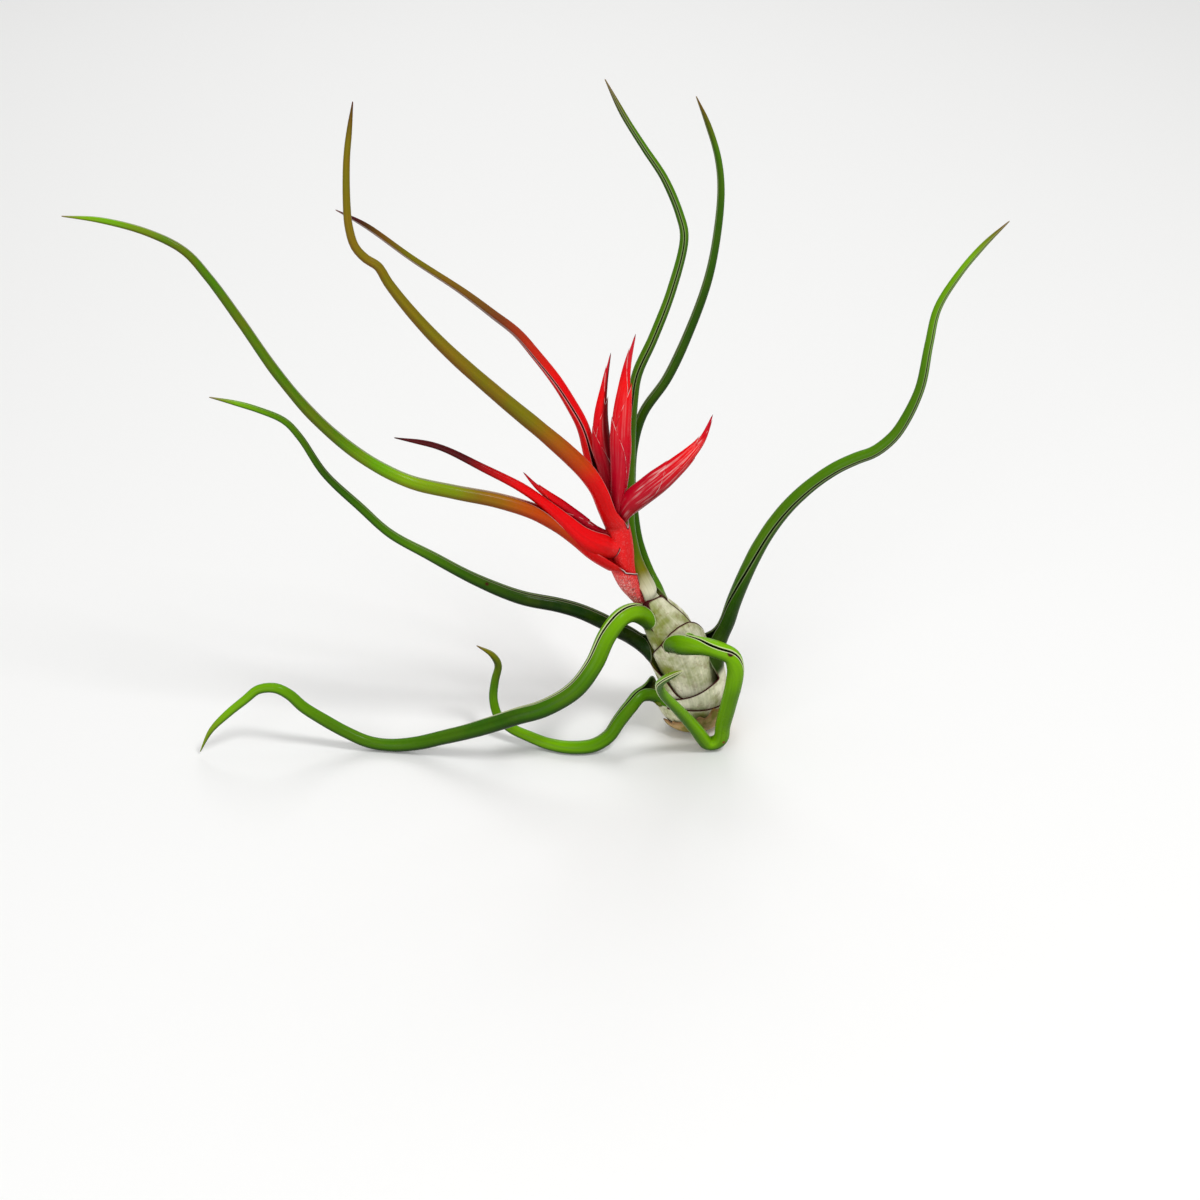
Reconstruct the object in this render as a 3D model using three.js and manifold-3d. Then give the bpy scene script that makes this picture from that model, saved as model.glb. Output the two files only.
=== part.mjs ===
// A bulbous air plant in flower, lying as picked on a flat surface: a false bulb of nested,
// inflated leaf sheaths on a short woody stem, whose leaves end in long rolled blades, and a
// scape that carries leaf-like red bracts and four flattened flower spikes.
// Units are millimetres. +Z is up, +X is to the right and -Y is the plant's front.
// The origin is the middle of the flat spot under the stem, where the bulb rests.
import * as THREE from 'three';
import { mergeVertices } from 'three/addons/utils/BufferGeometryUtils.js';
import Module from 'manifold-3d';

const wasm = await Module();
wasm.setup();

// ---------------------------------------------------------------- driving dimensions
const CLEARANCE = 0.3;            // air left between two neighbouring pieces
const SHEATH_WALL = 0.65;         // thickness of a sheath
const BLADE_WALL = 0.75;          // thickness of a rolled blade at its root
const TIP_WALL = 0.62;            // the same near its tip
const BLADE_ROLL = 150;           // degrees of roll on each side of the midrib
const ROLL_LIMIT = 162;           // the roll at which a groove would close
const LAYER_PITCH = 1.25;         // from one sheath of the bulb to the next
const NECK_PITCH = 1.05;          // the same where the sheaths crowd at the neck
const BULB_WAIST = 15;            // height at which the sheaths have filled out
const LOWEST_FOOT = 0.7;          // height of the foot of the outermost sheath
const FOOT_PITCH = 1.15;          // from the foot of one sheath to the next
const SHEATH_ROWS = 6;            // rows of facets up a sheath of the bulb
const BRACT_ROWS = 5;             // the same on the scape
const SHEATH_FACET = 23;          // degrees of a sheath that a flat facet may span
const STEEPEST = 2.5;             // slope of a sheath's wall that its thickness follows
const COLLAR = 8;                 // length over which a sheath rolls up into its blade
const COLLAR_STEPS = 4;
const ROOT_LEAD = 3;              // how far under its root a blade's line is already led
const BLADE_FACETS = 8;
const STEP_LONGEST = 8.5;         // longest stretch of blade between two sections
const STEP_SHORTEST = 1.6;
const STEP_TRIM = 0.3;            // by which a step is shortened until its bend is small
const STEP_TURN = 15;             // degrees of bend that a stretch may hold
const TIP_LENGTH = 5;             // the solid point that ends a blade
const SMALLEST_FACET = 0.03;      // what joining the bracts of a spike leaves below this goes

const UP = new THREE.Vector3(0, 0, 1);
const FRONT = new THREE.Vector3(0, -1, 0);
const point = ([x, y, z]) => new THREE.Vector3(x, y, z);
const radians = THREE.MathUtils.degToRad;

// ---------------------------------------------------------------- small helpers
// A value that runs in straight lines through [place, value] pairs.
function along(pairs, place) {
  if (place <= pairs[0][0]) return pairs[0][1];
  for (let i = 1; i < pairs.length; i += 1) {
    const [x1, y1] = pairs[i];
    if (place > x1) continue;
    const [x0, y0] = pairs[i - 1];
    return y0 + ((y1 - y0) * (place - x0)) / (x1 - x0);
  }
  return pairs[pairs.length - 1][1];
}

function smoothCurve(points) {
  return new THREE.CatmullRomCurve3(points, false, 'centripetal');
}

// The point and the direction of a rising curve at a given height.
function atHeight(curve, height) {
  let low = 0;
  let high = 1;
  for (let i = 0; i < 30; i += 1) {
    const middle = (low + high) / 2;
    if (curve.getPoint(middle).z < height) low = middle;
    else high = middle;
  }
  return { centre: curve.getPoint(low), rise: curve.getTangent(low) };
}

// The direction that points out of an axis at an azimuth: 0 is the front, 90 the right.
function outward(rise, azimuth) {
  const front = FRONT.clone().addScaledVector(rise, -FRONT.dot(rise)).normalize();
  const right = rise.clone().cross(front);
  const angle = radians(azimuth);
  return front.multiplyScalar(Math.cos(angle)).addScaledVector(right, Math.sin(angle));
}

// ---------------------------------------------------------------- closed bodies
function bodyOf(vertices, faces) {
  const geometry = new THREE.BufferGeometry();
  const flat = vertices.flatMap((v) => [v.x, v.y, v.z]);
  geometry.setAttribute('position', new THREE.Float32BufferAttribute(flat, 3));
  geometry.setIndex(faces.flat());
  return solidOf(geometry);
}

// A manifold solid of a closed geometry, turned outside out where its faces point inwards.
function solidOf(geometry) {
  const bare = geometry.clone();
  bare.deleteAttribute('normal');
  bare.deleteAttribute('uv');
  const merged = mergeVertices(bare, 1e-4);
  const corners = merged.getAttribute('position').array;
  const order = Uint32Array.from(merged.getIndex().array);
  if (enclosedVolume(corners, order) < 0) {
    for (let i = 0; i < order.length; i += 3) {
      [order[i], order[i + 1]] = [order[i + 1], order[i]];
    }
  }
  const mesh = { numProp: 3, vertProperties: Float32Array.from(corners), triVerts: order };
  return new wasm.Manifold(new wasm.Mesh(mesh));
}

function enclosedVolume(corners, order) {
  const a = new THREE.Vector3();
  const b = new THREE.Vector3();
  const c = new THREE.Vector3();
  let sum = 0;
  for (let i = 0; i < order.length; i += 3) {
    a.fromArray(corners, 3 * order[i]);
    b.fromArray(corners, 3 * order[i + 1]);
    c.fromArray(corners, 3 * order[i + 2]);
    sum += a.dot(b.cross(c)) / 6;
  }
  return sum;
}

function geometryOf(solid) {
  const mesh = solid.getMesh();
  const geometry = new THREE.BufferGeometry();
  geometry.setAttribute('position', new THREE.Float32BufferAttribute(mesh.vertProperties, 3));
  geometry.setIndex(Array.from(mesh.triVerts));
  geometry.computeVertexNormals();
  return geometry;
}

// ---------------------------------------------------------------- sheaths and blades
// A wall of even thickness under a sheet of triangles. Each spot has a place, the outward
// normal there and the wall's thickness; a spot with no wall is shared by both faces.
function wallUnder(spots, triangles) {
  const vertices = spots.map((spot) => spot.place);
  const twin = spots.map((spot, i) => {
    if (!spot.wall) return i;
    return vertices.push(spot.place.clone().addScaledVector(spot.normal, -spot.wall)) - 1;
  });
  const faces = [];
  const edges = new Set(triangles.flatMap(([a, b, c]) => [`${a},${b}`, `${b},${c}`, `${c},${a}`]));
  for (const [a, b, c] of triangles) {
    faces.push([a, b, c], [twin[c], twin[b], twin[a]]);
    for (const [from, to] of [[a, b], [b, c], [c, a]]) {
      if (edges.has(`${to},${from}`)) continue;
      if (twin[from] !== from) faces.push([to, from, twin[from]]);
      if (twin[to] !== to) faces.push([to, twin[from], twin[to]]);
    }
  }
  return bodyOf(vertices, faces);
}

// Two triangles for each gap between two rows of as many spots.
function stitch(faces, first, second) {
  for (let j = 0; j + 1 < first.length; j += 1) {
    faces.push([first[j], first[j + 1], second[j]], [first[j + 1], second[j + 1], second[j]]);
  }
}

// The angles of a sheath's columns from the midrib: fine ones that go on into the blade, and
// as many as needed on either side. span is how far the sheath wraps to the left and right.
function columnAngles([left, right], base) {
  const side = (span) => Math.ceil((span - base) / SHEATH_FACET);
  const count = [side(left), side(right)];
  const angles = [];
  for (let j = 0; j < count[0]; j += 1) angles.push(-left + ((left - base) * j) / count[0]);
  for (let j = 0; j <= BLADE_FACETS; j += 1) angles.push(base * ((2 * j) / BLADE_FACETS - 1));
  for (let j = 1; j <= count[1]; j += 1) angles.push(base + ((right - base) * j) / count[1]);
  return { angles, first: count[0] };
}

// The rows of a sheath, from its foot up to its rim. The sheath is a band of a turned shape
// around an axis; rim says how far its edge rises at each angle above the blade's root.
function sheathRows({ axis, azimuth, foot, root, radiusAt, rim, rows }, angles) {
  const nudge = 0.05;
  return Array.from({ length: rows + 1 }, (_, i) => {
    const share = i / rows;
    const level = foot + (root - foot) * (1 - Math.cos((Math.PI / 2) * share));
    const slant = share * share;
    return angles.map((angle) => {
      const height = level + slant * along(rim, angle);
      const { centre, rise } = atHeight(axis, height);
      const out = outward(rise, azimuth + angle);
      const slope = (radiusAt(height + nudge) - radiusAt(height - nudge)) / (2 * nudge);
      const lean = THREE.MathUtils.clamp(slope, -STEEPEST, STEEPEST);
      return {
        place: centre.addScaledVector(out, radiusAt(height)),
        normal: out.clone().addScaledVector(rise, -lean).normalize(),
        wall: SHEATH_WALL,
      };
    });
  });
}

// Places along a blade, closer together at its collar and where it bends.
function stations(curve, length, collar) {
  const places = [0];
  let here = 0;
  while (here < length - STEP_SHORTEST) {
    let step = here < collar ? collar / COLLAR_STEPS : STEP_LONGEST;
    const tangent = curve.getTangentAt(here / length);
    while (step > STEP_SHORTEST) {
      const ahead = curve.getTangentAt(Math.min(1, (here + step) / length));
      if (tangent.angleTo(ahead) < radians(STEP_TURN)) break;
      step -= STEP_TRIM;
    }
    here = Math.min(length, here + step);
    places.push(here);
  }
  places[places.length - 1] = length;
  return places;
}

// The middle line of a blade, which starts in its sheath where it has one. The line is led
// out of the sheath in its own direction, and that lead is then left off.
function bladeLine({ axis, azimuth, root, radiusAt, route, radii }) {
  const points = route.map(point);
  if (!axis) return smoothCurve(points);
  const start = [root - ROOT_LEAD, root].map((height) => {
    const { centre, rise } = atHeight(axis, height);
    return centre.addScaledVector(outward(rise, azimuth), radiusAt(height) - radii[0][1]);
  });
  const whole = smoothCurve([...start, ...points]);
  const skip = 1 / (points.length + 1);
  const count = 12 * points.length;
  const spread = (_, i) => whole.getPoint(skip + (1 - skip) * (i / count));
  return smoothCurve(Array.from({ length: count + 1 }, spread));
}

// A leaf: its sheath and the blade that leaves it, rolled so that a groove stays open along
// its upper side. route is the middle of the rolled blade, radii its radius and roll the half
// angle of its skin in degrees, both by the share of the blade's length. base is half the
// angle of the sheath that goes on into the blade, and collar the length of the change.
function leaf(spec) {
  const { axis, azimuth, root, radiusAt, radii, base, twist = [[0, 0]] } = spec;
  const { roll = [[0, BLADE_ROLL]], collar = COLLAR } = spec;
  const line = bladeLine(spec);
  const length = line.getLength();
  const spots = [];
  const triangles = [];
  const put = (list) => list.map((spot) => spots.push(spot) - 1);
  let last = null;
  let inward = axis ? null : point(spec.inward);
  let startRise = line.getTangentAt(0);
  let startCurl = 1 / radii[0][1];
  let startWidth = radii[0][1] * radians(roll[0][1]);
  if (axis) {
    const { angles, first } = columnAngles(spec.wrap, base);
    const rows = sheathRows(spec, angles).map(put);
    for (let i = 0; i + 1 < rows.length; i += 1) stitch(triangles, rows[i], rows[i + 1]);
    last = rows[rows.length - 1].slice(first, first + BLADE_FACETS + 1);
    startRise = atHeight(axis, root).rise;
    inward = outward(startRise, azimuth).negate();
    startCurl = 1 / radiusAt(root);
    startWidth = radiusAt(root) * radians(base);
  }
  for (const reach of stations(line, length - TIP_LENGTH, collar).slice(axis ? 1 : 0)) {
    const share = reach / length;
    const settle = THREE.MathUtils.clamp(reach / (collar / 2), 0, 1);
    const rise = startRise.clone().lerp(line.getTangentAt(share), settle).normalize();
    inward.addScaledVector(rise, -inward.dot(rise)).normalize();
    const turned = inward.clone().applyAxisAngle(rise, radians(along(twist, share)));
    const side = turned.clone().cross(rise);
    const thin = along(radii, share);
    const into = THREE.MathUtils.clamp(reach / collar, 0, 1);
    const radius = 1 / THREE.MathUtils.lerp(startCurl, 1 / thin, into);
    const width = THREE.MathUtils.lerp(startWidth, thin * radians(along(roll, share)), into);
    const half = Math.min(width / radius, radians(ROLL_LIMIT));
    const middle = line.getPointAt(share).addScaledVector(turned, radius - thin);
    const wall = THREE.MathUtils.lerp(BLADE_WALL, TIP_WALL, share);
    const here = put(Array.from({ length: BLADE_FACETS + 1 }, (_, j) => {
      const angle = half * ((2 * j) / BLADE_FACETS - 1);
      const normal = turned.clone().multiplyScalar(-Math.cos(angle));
      normal.addScaledVector(side, Math.sin(angle));
      return { place: middle.clone().addScaledVector(normal, radius), normal, wall };
    }));
    if (last) stitch(triangles, last, here);
    last = here;
  }
  const [tip] = put([{ place: line.getPointAt(1), wall: 0 }]);
  for (let j = 0; j < BLADE_FACETS; j += 1) triangles.push([last[j], last[j + 1], tip]);
  return wallUnder(spots, triangles);
}

// A sheath that has lost its blade.
function bareSheath(spec) {
  const { angles } = columnAngles(spec.wrap, spec.base);
  const spots = [];
  const triangles = [];
  const rows = sheathRows(spec, angles).map((row) => row.map((spot) => spots.push(spot) - 1));
  for (let i = 0; i + 1 < rows.length; i += 1) stitch(triangles, rows[i], rows[i + 1]);
  return wallUnder(spots, triangles);
}

// ---------------------------------------------------------------- round and flattened bodies
// A solid drawn along a line with an oval section: half widths along the broad direction and
// half depths across it, by the share of its length. It ends in a point.
function ovalBody({ line, broad, widths, depths, sides, steps }) {
  const rings = Array.from({ length: steps }, (_, i) => {
    const share = i / steps;
    const rise = line.getTangentAt(share);
    const wide = broad.clone().addScaledVector(rise, -broad.dot(rise)).normalize();
    const deep = rise.clone().cross(wide);
    return Array.from({ length: sides }, (__, j) => {
      const angle = (2 * Math.PI * j) / sides;
      const spot = line.getPointAt(share);
      spot.addScaledVector(wide, along(widths, share) * Math.cos(angle));
      return spot.addScaledVector(deep, along(depths, share) * Math.sin(angle));
    });
  });
  return ringBody(rings, line.getPointAt(0), line.getPointAt(1));
}

// A closed body through rings of as many points, which ends in a foot and a tip.
function ringBody(rings, footPoint, tipPoint) {
  const sides = rings[0].length;
  const vertices = rings.flat();
  const faces = [];
  const row = (i) => [...Array(sides + 1).keys()].map((j) => i * sides + (j % sides));
  const top = rings.length - 1;
  for (let i = 0; i < top; i += 1) stitch(faces, row(i), row(i + 1));
  const foot = vertices.push(footPoint) - 1;
  const tip = vertices.push(tipPoint) - 1;
  for (let j = 0; j < sides; j += 1) {
    faces.push([row(0)[j + 1], row(0)[j], foot]);
    faces.push([row(top)[j], row(top)[j + 1], tip]);
  }
  return bodyOf(vertices, faces);
}

// ---------------------------------------------------------------- the stem
const BULB_AXIS = smoothCurve([
  [0, 0, 0], [-0.8, 0, 13], [-3.6, 0, 23], [-7, 0, 31], [-11.8, -0.4, 38], [-15.5, -1, 44],
].map(point));

const STEM_LINE = smoothCurve([
  [0, 0, 0], [-0.8, 0, 13], [-3.8, 0, 23], [-7.7, -0.2, 31], [-12.9, -0.7, 38.5],
  [-16.7, -1.6, 44.5], [-18.9, -2.4, 51], [-20, -2.8, 58.5], [-21.3, -3, 66], [-22, -3, 73],
].map(point));

const STEM_SIDES = 12;
const STEM_HEIGHTS = [
  0, 1.2, 3, 5.5, 8, 11, 14, 18, 22, 27, 31, 35, 38.5, 41.5, 44.5, 51, 58.5, 66,
];
const STEM_RADII = [
  [0, 3.5], [1.2, 4], [3, 3.6], [8, 2.3], [14, 1.7], [22, 1.4], [31, 1.1], [38, 0.8], [66, 0.8],
];

// The foot is cut level, and is the flat spot that the plant rests on.
function stem() {
  const rings = STEM_HEIGHTS.map((height) => {
    const { centre, rise } = atHeight(STEM_LINE, height);
    const level = height === 0 ? UP : rise;
    return Array.from({ length: STEM_SIDES }, (_, j) => {
      const out = outward(level, (360 * j) / STEM_SIDES);
      return centre.clone().addScaledVector(out, along(STEM_RADII, height));
    });
  });
  const top = atHeight(STEM_LINE, STEM_HEIGHTS[STEM_HEIGHTS.length - 1]).centre;
  return ringBody(rings, new THREE.Vector3(), top);
}

// ---------------------------------------------------------------- the bulb's leaves
// Outer radius of the sheath of the front left leaf, from which the others are stacked.
const INNER_BULB = [
  [15, 5.9], [20, 6.3], [26, 6.8], [30, 6.9], [33, 6.4], [36, 5.4], [38.5, 4.9], [43, 4.6],
];

// The sheaths from the stem outwards, and the height of the foot of each.
const LAYERS = [
  'back_left', 'back_right', 'front_left', 'curl', 'mid_left', 'right', 'low_left', 'dry',
];
const FRONT_LAYER = LAYERS.indexOf('front_left');
const footOf = (layer) => LOWEST_FOOT + FOOT_PITCH * (LAYERS.length - 1 - layer);
const PITCHES = [[31, LAYER_PITCH], [37, NECK_PITCH]];

// The outer radius of a layer at a height: a quarter ellipse from the stem to the waist of
// the bulb, and above that the inner bulb's own outline plus the layers outside it.
function layerRadius(layer) {
  const foot = footOf(layer);
  const start = along(STEM_RADII, foot) + CLEARANCE + SHEATH_WALL;
  const outside = (height) => (layer - FRONT_LAYER) * along(PITCHES, height);
  const above = (height) => along(INNER_BULB, height) + outside(height);
  return (height) => {
    if (height >= BULB_WAIST) return above(height);
    const drop = Math.min(1, (BULB_WAIST - height) / (BULB_WAIST - foot));
    return start + (above(BULB_WAIST) - start) * Math.sqrt(1 - drop * drop);
  };
}

function bulbSpec(name, spec) {
  const layer = LAYERS.indexOf(name);
  const shape = { axis: BULB_AXIS, foot: footOf(layer), radiusAt: layerRadius(layer) };
  return { rows: SHEATH_ROWS, ...shape, ...spec };
}

// azimuth and root say where on the bulb a blade leaves, route where it goes.
const BULB_LEAVES = {
  low_left: {
    azimuth: -80,
    root: 10.5,
    wrap: [150, 170],
    base: 29,
    rim: [[-150, -1], [-29, 0], [29, 0], [60, 0.5], [170, -2]],
    route: [
      [-14.5, -5.5, 12.5], [-17.5, -8.5, 10.5], [-20.5, -11, 7.5], [-23, -13, 4.4],
      [-27, -14.3, 2.3], [-33, -14.5, 1.7], [-39, -13, 1.8], [-44.5, -11, 2.9], [-49, -9, 4],
      [-52.5, -7, 6.2], [-54, -5, 10.6], [-53.5, -4, 16], [-52.5, -4, 21], [-54, -5, 25],
      [-58, -6, 28.5],
    ],
    radii: [[0, 2.1], [0.4, 1.8], [0.7, 1.25], [0.92, 0.95]],
    collar: 11,
  },
  mid_left: {
    azimuth: -95,
    root: 23.5,
    wrap: [165, 110],
    base: 31,
    rim: [[-165, -10], [-60, 1], [-31, 0], [31, 0], [46, -3], [62, -9], [110, -14]],
    route: [
      [-17.5, -1, 28.5], [-20.5, -3, 31.5], [-24.6, -4.5, 35], [-30.5, -6, 39], [-36, -7, 41.5],
      [-46, -8, 44.5], [-57.5, -9, 50.5], [-68.5, -10, 58], [-78.5, -10, 64.5], [-85.5, -10, 72],
      [-94, -9, 81], [-99.5, -8, 90.5], [-103, -8, 95], [-109, -8, 98], [-115, -8, 100],
      [-121, -8, 101.5],
    ],
    radii: [[0, 2.3], [0.3, 1.9], [0.55, 1.2], [0.95, 0.75]],
  },
  right: {
    azimuth: 110,
    root: 16,
    wrap: [160, 160],
    base: 32,
    rim: [[-160, -3], [-32, 0], [32, 0], [160, -3]],
    collar: 9,
    route: [
      [5.5, 2.4, 22.5], [7, 1.6, 27.5], [8.4, 0.8, 31.8], [9.8, -0.5, 38.5],
      [12.3, -2, 47.5], [15.5, -3, 56.5], [19, -4, 64], [23, -5, 70.5],
      [28, -6, 76.5], [33.5, -7, 81.5], [38.5, -7.5, 84.5], [42.5, -8, 86.5],
      [46, -8, 89.5], [48.5, -8, 93], [52.5, -8, 103.5], [54, -7, 115], [55.5, -6, 124],
      [60, -6, 133], [65, -6, 140], [70.5, -6, 146],
    ],
    radii: [[0, 2.6], [0.1, 2.1], [0.5, 1.6], [0.75, 1.1], [0.95, 0.75]],
    twist: [[0, 0], [0.15, -35]],
  },
  curl: {
    azimuth: 5,
    root: 28,
    wrap: [95, 205],
    base: 34,
    rim: [[-95, -4], [-60, -3], [-34, 0], [34, 0], [50, 1.8], [67, 2.2], [85, 1], [110, -2], [205, -5]],
    route: [
      [-3.4, -10.8, 31.8], [1.8, -13.5, 32.9], [5.8, -15.5, 32.8], [8.7, -16.5, 31.6],
      [9.7, -17, 28.3], [9.4, -17, 23.5], [8.7, -16, 18.5], [7.9, -14.8, 13], [7.2, -13.8, 8.2],
      [7, -13.4, 4.6], [6.1, -13.1, 2.8], [4.5, -13, 2], [3, -13.3, 2.5], [2.1, -13.8, 3.9],
      [0, -15.2, 8], [-2.6, -17, 12.6], [-6.2, -20.5, 19.2], [-9.4, -24, 25.4],
      [-10.3, -27, 29.9], [-9.3, -30, 33.4], [-6.9, -33, 37], [-4.8, -36, 40],
    ],
    radii: [[0, 2.3], [0.5, 2], [0.75, 1.35], [0.95, 0.9]],
  },
  front_left: {
    azimuth: -62,
    root: 34.5,
    wrap: [165, 122],
    base: 33,
    rim: [[-165, -5], [-110, -3], [-70, 0.5], [-33, 0], [33, 0], [56, 0.6], [77, 4], [122, 1.5]],
    route: [
      [-16.5, -6.6, 39], [-20, -10, 39.5], [-23.5, -13, 36], [-27, -17, 29.5], [-32, -19, 23],
      [-40, -20, 18], [-47, -20, 15.5], [-53, -19, 12.5], [-60, -17.5, 9], [-67, -16, 6],
      [-74, -14.5, 3.1], [-81, -13.5, 1.75], [-87, -13, 2.4], [-93, -12.5, 5.2], [-99, -12, 9],
      [-104, -12, 13], [-107.5, -12, 17], [-111, -12, 19], [-115.5, -12, 18.5], [-119, -13, 16],
      [-124, -14, 12], [-128.5, -15, 7.5], [-132, -15.5, 0.9],
    ],
    radii: [[0, 2.6], [0.35, 2.3], [0.6, 1.7], [0.75, 1.55], [0.93, 0.95]],
  },
  back_right: {
    azimuth: 132,
    root: 36.5,
    wrap: [150, 150],
    base: 50,
    rim: [[-150, -1], [-50, 0], [50, 0], [150, -4]],
    route: [
      [-10.3, 3.5, 40.6], [-12.3, 5.7, 44], [-14, 8, 47.5],
      [-15.4, 10, 51.5], [-16.5, 12, 58], [-17.3, 13, 66], [-16.8, 15, 76], [-14.3, 16, 85.5],
      [-8.2, 17, 95], [-2.6, 18, 108], [1.6, 18, 121.5], [3.5, 18, 133], [4.1, 17, 145.5],
      [3, 16, 154], [0.3, 15, 162.5], [-2.7, 14, 169.5],
    ],
    radii: [[0, 1.35], [0.5, 1.25], [0.8, 0.95], [0.95, 0.7]],
  },
  back_left: {
    azimuth: 80,
    root: 39.5,
    wrap: [150, 150],
    base: 58,
    rim: [[-150, -1], [-58, 0], [58, 0], [150, -2]],
    route: [
      [-12.4, -0.4, 42.4], [-13.4, 0.9, 45.2], [-15, 3, 49],
      [-16.5, 5.5, 54.5], [-17.3, 7.5, 60], [-17.6, 9, 67], [-17.7, 10, 74], [-17.5, 11, 83],
      [-17, 11, 92], [-16, 11, 99], [-12, 11, 109], [-7.6, 11, 122], [-4.9, 10, 136],
      [-6.1, 10, 141.5], [-10, 9, 151], [-15, 8, 159], [-19.8, 7, 167], [-24.3, 6, 176],
    ],
    radii: [[0, 1.7], [0.12, 1.5], [0.5, 1.3], [0.8, 0.95], [0.95, 0.7]],
    roll: [[0, 95], [0.12, 95], [0.2, BLADE_ROLL]],
  },
};

const DRY_SHEATH = {
  azimuth: 40,
  root: 8,
  wrap: [115, 115],
  base: 40,
  rim: [[-115, -5], [-70, -2], [-30, 1], [0, 2.5], [25, 0.5], [60, -1.5], [115, -5.5]],
};

// ---------------------------------------------------------------- the scape's leafy bracts
const SCAPE_BRACTS = {
  long: {
    axis: STEM_LINE,
    azimuth: -75,
    foot: 40.5,
    root: 51,
    outline: [[40.5, 1.9], [42, 2.6], [45, 3.3], [50, 3.8], [56, 4]],
    wrap: [150, 150],
    base: 66,
    rim: [[-150, -3], [-66, 0], [66, 0], [80, 0.5], [150, -4]],
    route: [
      [-26.5, -5.5, 57.5], [-31, -7.5, 62.5], [-36.3, -8.5, 66.8], [-42, -10, 70.8],
      [-51, -11, 74.5], [-62, -12, 77.5], [-73, -12, 80.5], [-84, -12, 87.2], [-94.5, -12, 97.5],
      [-103, -12, 109.5], [-111, -11, 123], [-117.5, -11, 134], [-122.5, -11, 140.5],
      [-130.5, -11, 145], [-141, -11, 148], [-150, -11, 149],
    ],
    radii: [[0, 3.5], [0.06, 3.3], [0.12, 2.5], [0.2, 2], [0.6, 1.3], [0.8, 1.05], [0.95, 0.75]],
    roll: [[0, 75], [0.12, 85], [0.2, BLADE_ROLL]],
    collar: 10,
  },
  tall: {
    axis: STEM_LINE,
    azimuth: -50,
    foot: 46.5,
    root: 63,
    outline: [[46.5, 1.85], [52, 2.7], [54, 3], [60, 3.3], [66, 3.5]],
    wrap: [150, 150],
    base: 62,
    rim: [[-150, -3], [-62, 0], [62, 0], [150, 1]],
    route: [
      [-23.5, -6, 70], [-25.5, -8, 76], [-28.5, -10, 81.7], [-33, -11.5, 87.5],
      [-38.5, -13, 93.7], [-49.5, -15, 105], [-61.5, -17, 118], [-69, -18, 127.5],
      [-75, -18, 136], [-79, -18, 141], [-82, -18, 146], [-83, -17, 154], [-82.5, -16, 164],
      [-81.5, -15, 171], [-80.5, -14, 177],
    ],
    radii: [[0, 3], [0.1, 2.5], [0.25, 2.1], [0.55, 1.5], [0.7, 1.1], [0.95, 0.7]],
    roll: [[0, 80], [0.1, 110], [0.2, BLADE_ROLL]],
  },
  thin: {
    axis: STEM_LINE,
    azimuth: -120,
    foot: 54,
    root: 68,
    outline: [[54, 1.85], [60, 2.2], [66, 2.45], [72, 2.5]],
    wrap: [120, 120],
    base: 60,
    rim: [[-120, -3], [-60, 0], [60, 0], [120, -3]],
    route: [
      [-26.2, -0.5, 75], [-27.8, 1.8, 80.5], [-29.8, 2.5, 88.5], [-33, 3, 95], [-36.6, 3, 101.3],
      [-41, 3, 107.5], [-45.8, 3, 113.7], [-51.4, 3, 118.5], [-58.7, 3, 124.5],
      [-70.6, 2, 133.5], [-81.3, 1, 142.3], [-88, 0, 146.5],
    ],
    radii: [[0, 2], [0.2, 1.65], [0.45, 1.3], [0.7, 0.85], [0.93, 0.7]],
    roll: [[0, 80], [0.25, BLADE_ROLL]],
  },
  short: {
    inward: [0.5, 0, 0.85],
    route: [
      [-25.6, -5.2, 60.4], [-31, -7.2, 65.4], [-36.3, -8.4, 70.2], [-39.6, -8.8, 73.2],
      [-44.5, -9, 76.7], [-54.4, -8, 82], [-65.7, -6, 87], [-76.7, -5, 89],
    ],
    radii: [[0, 1.2], [0.08, 1.9], [0.2, 2], [0.3, 1.5], [0.4, 1.3], [0.9, 0.7]],
    roll: [[0, 80], [0.3, 90], [0.45, BLADE_ROLL]],
  },
};

function scapeSpec(spec) {
  if (!spec.axis) return spec;
  return { rows: BRACT_ROWS, radiusAt: (height) => along(spec.outline, height), ...spec };
}

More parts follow.
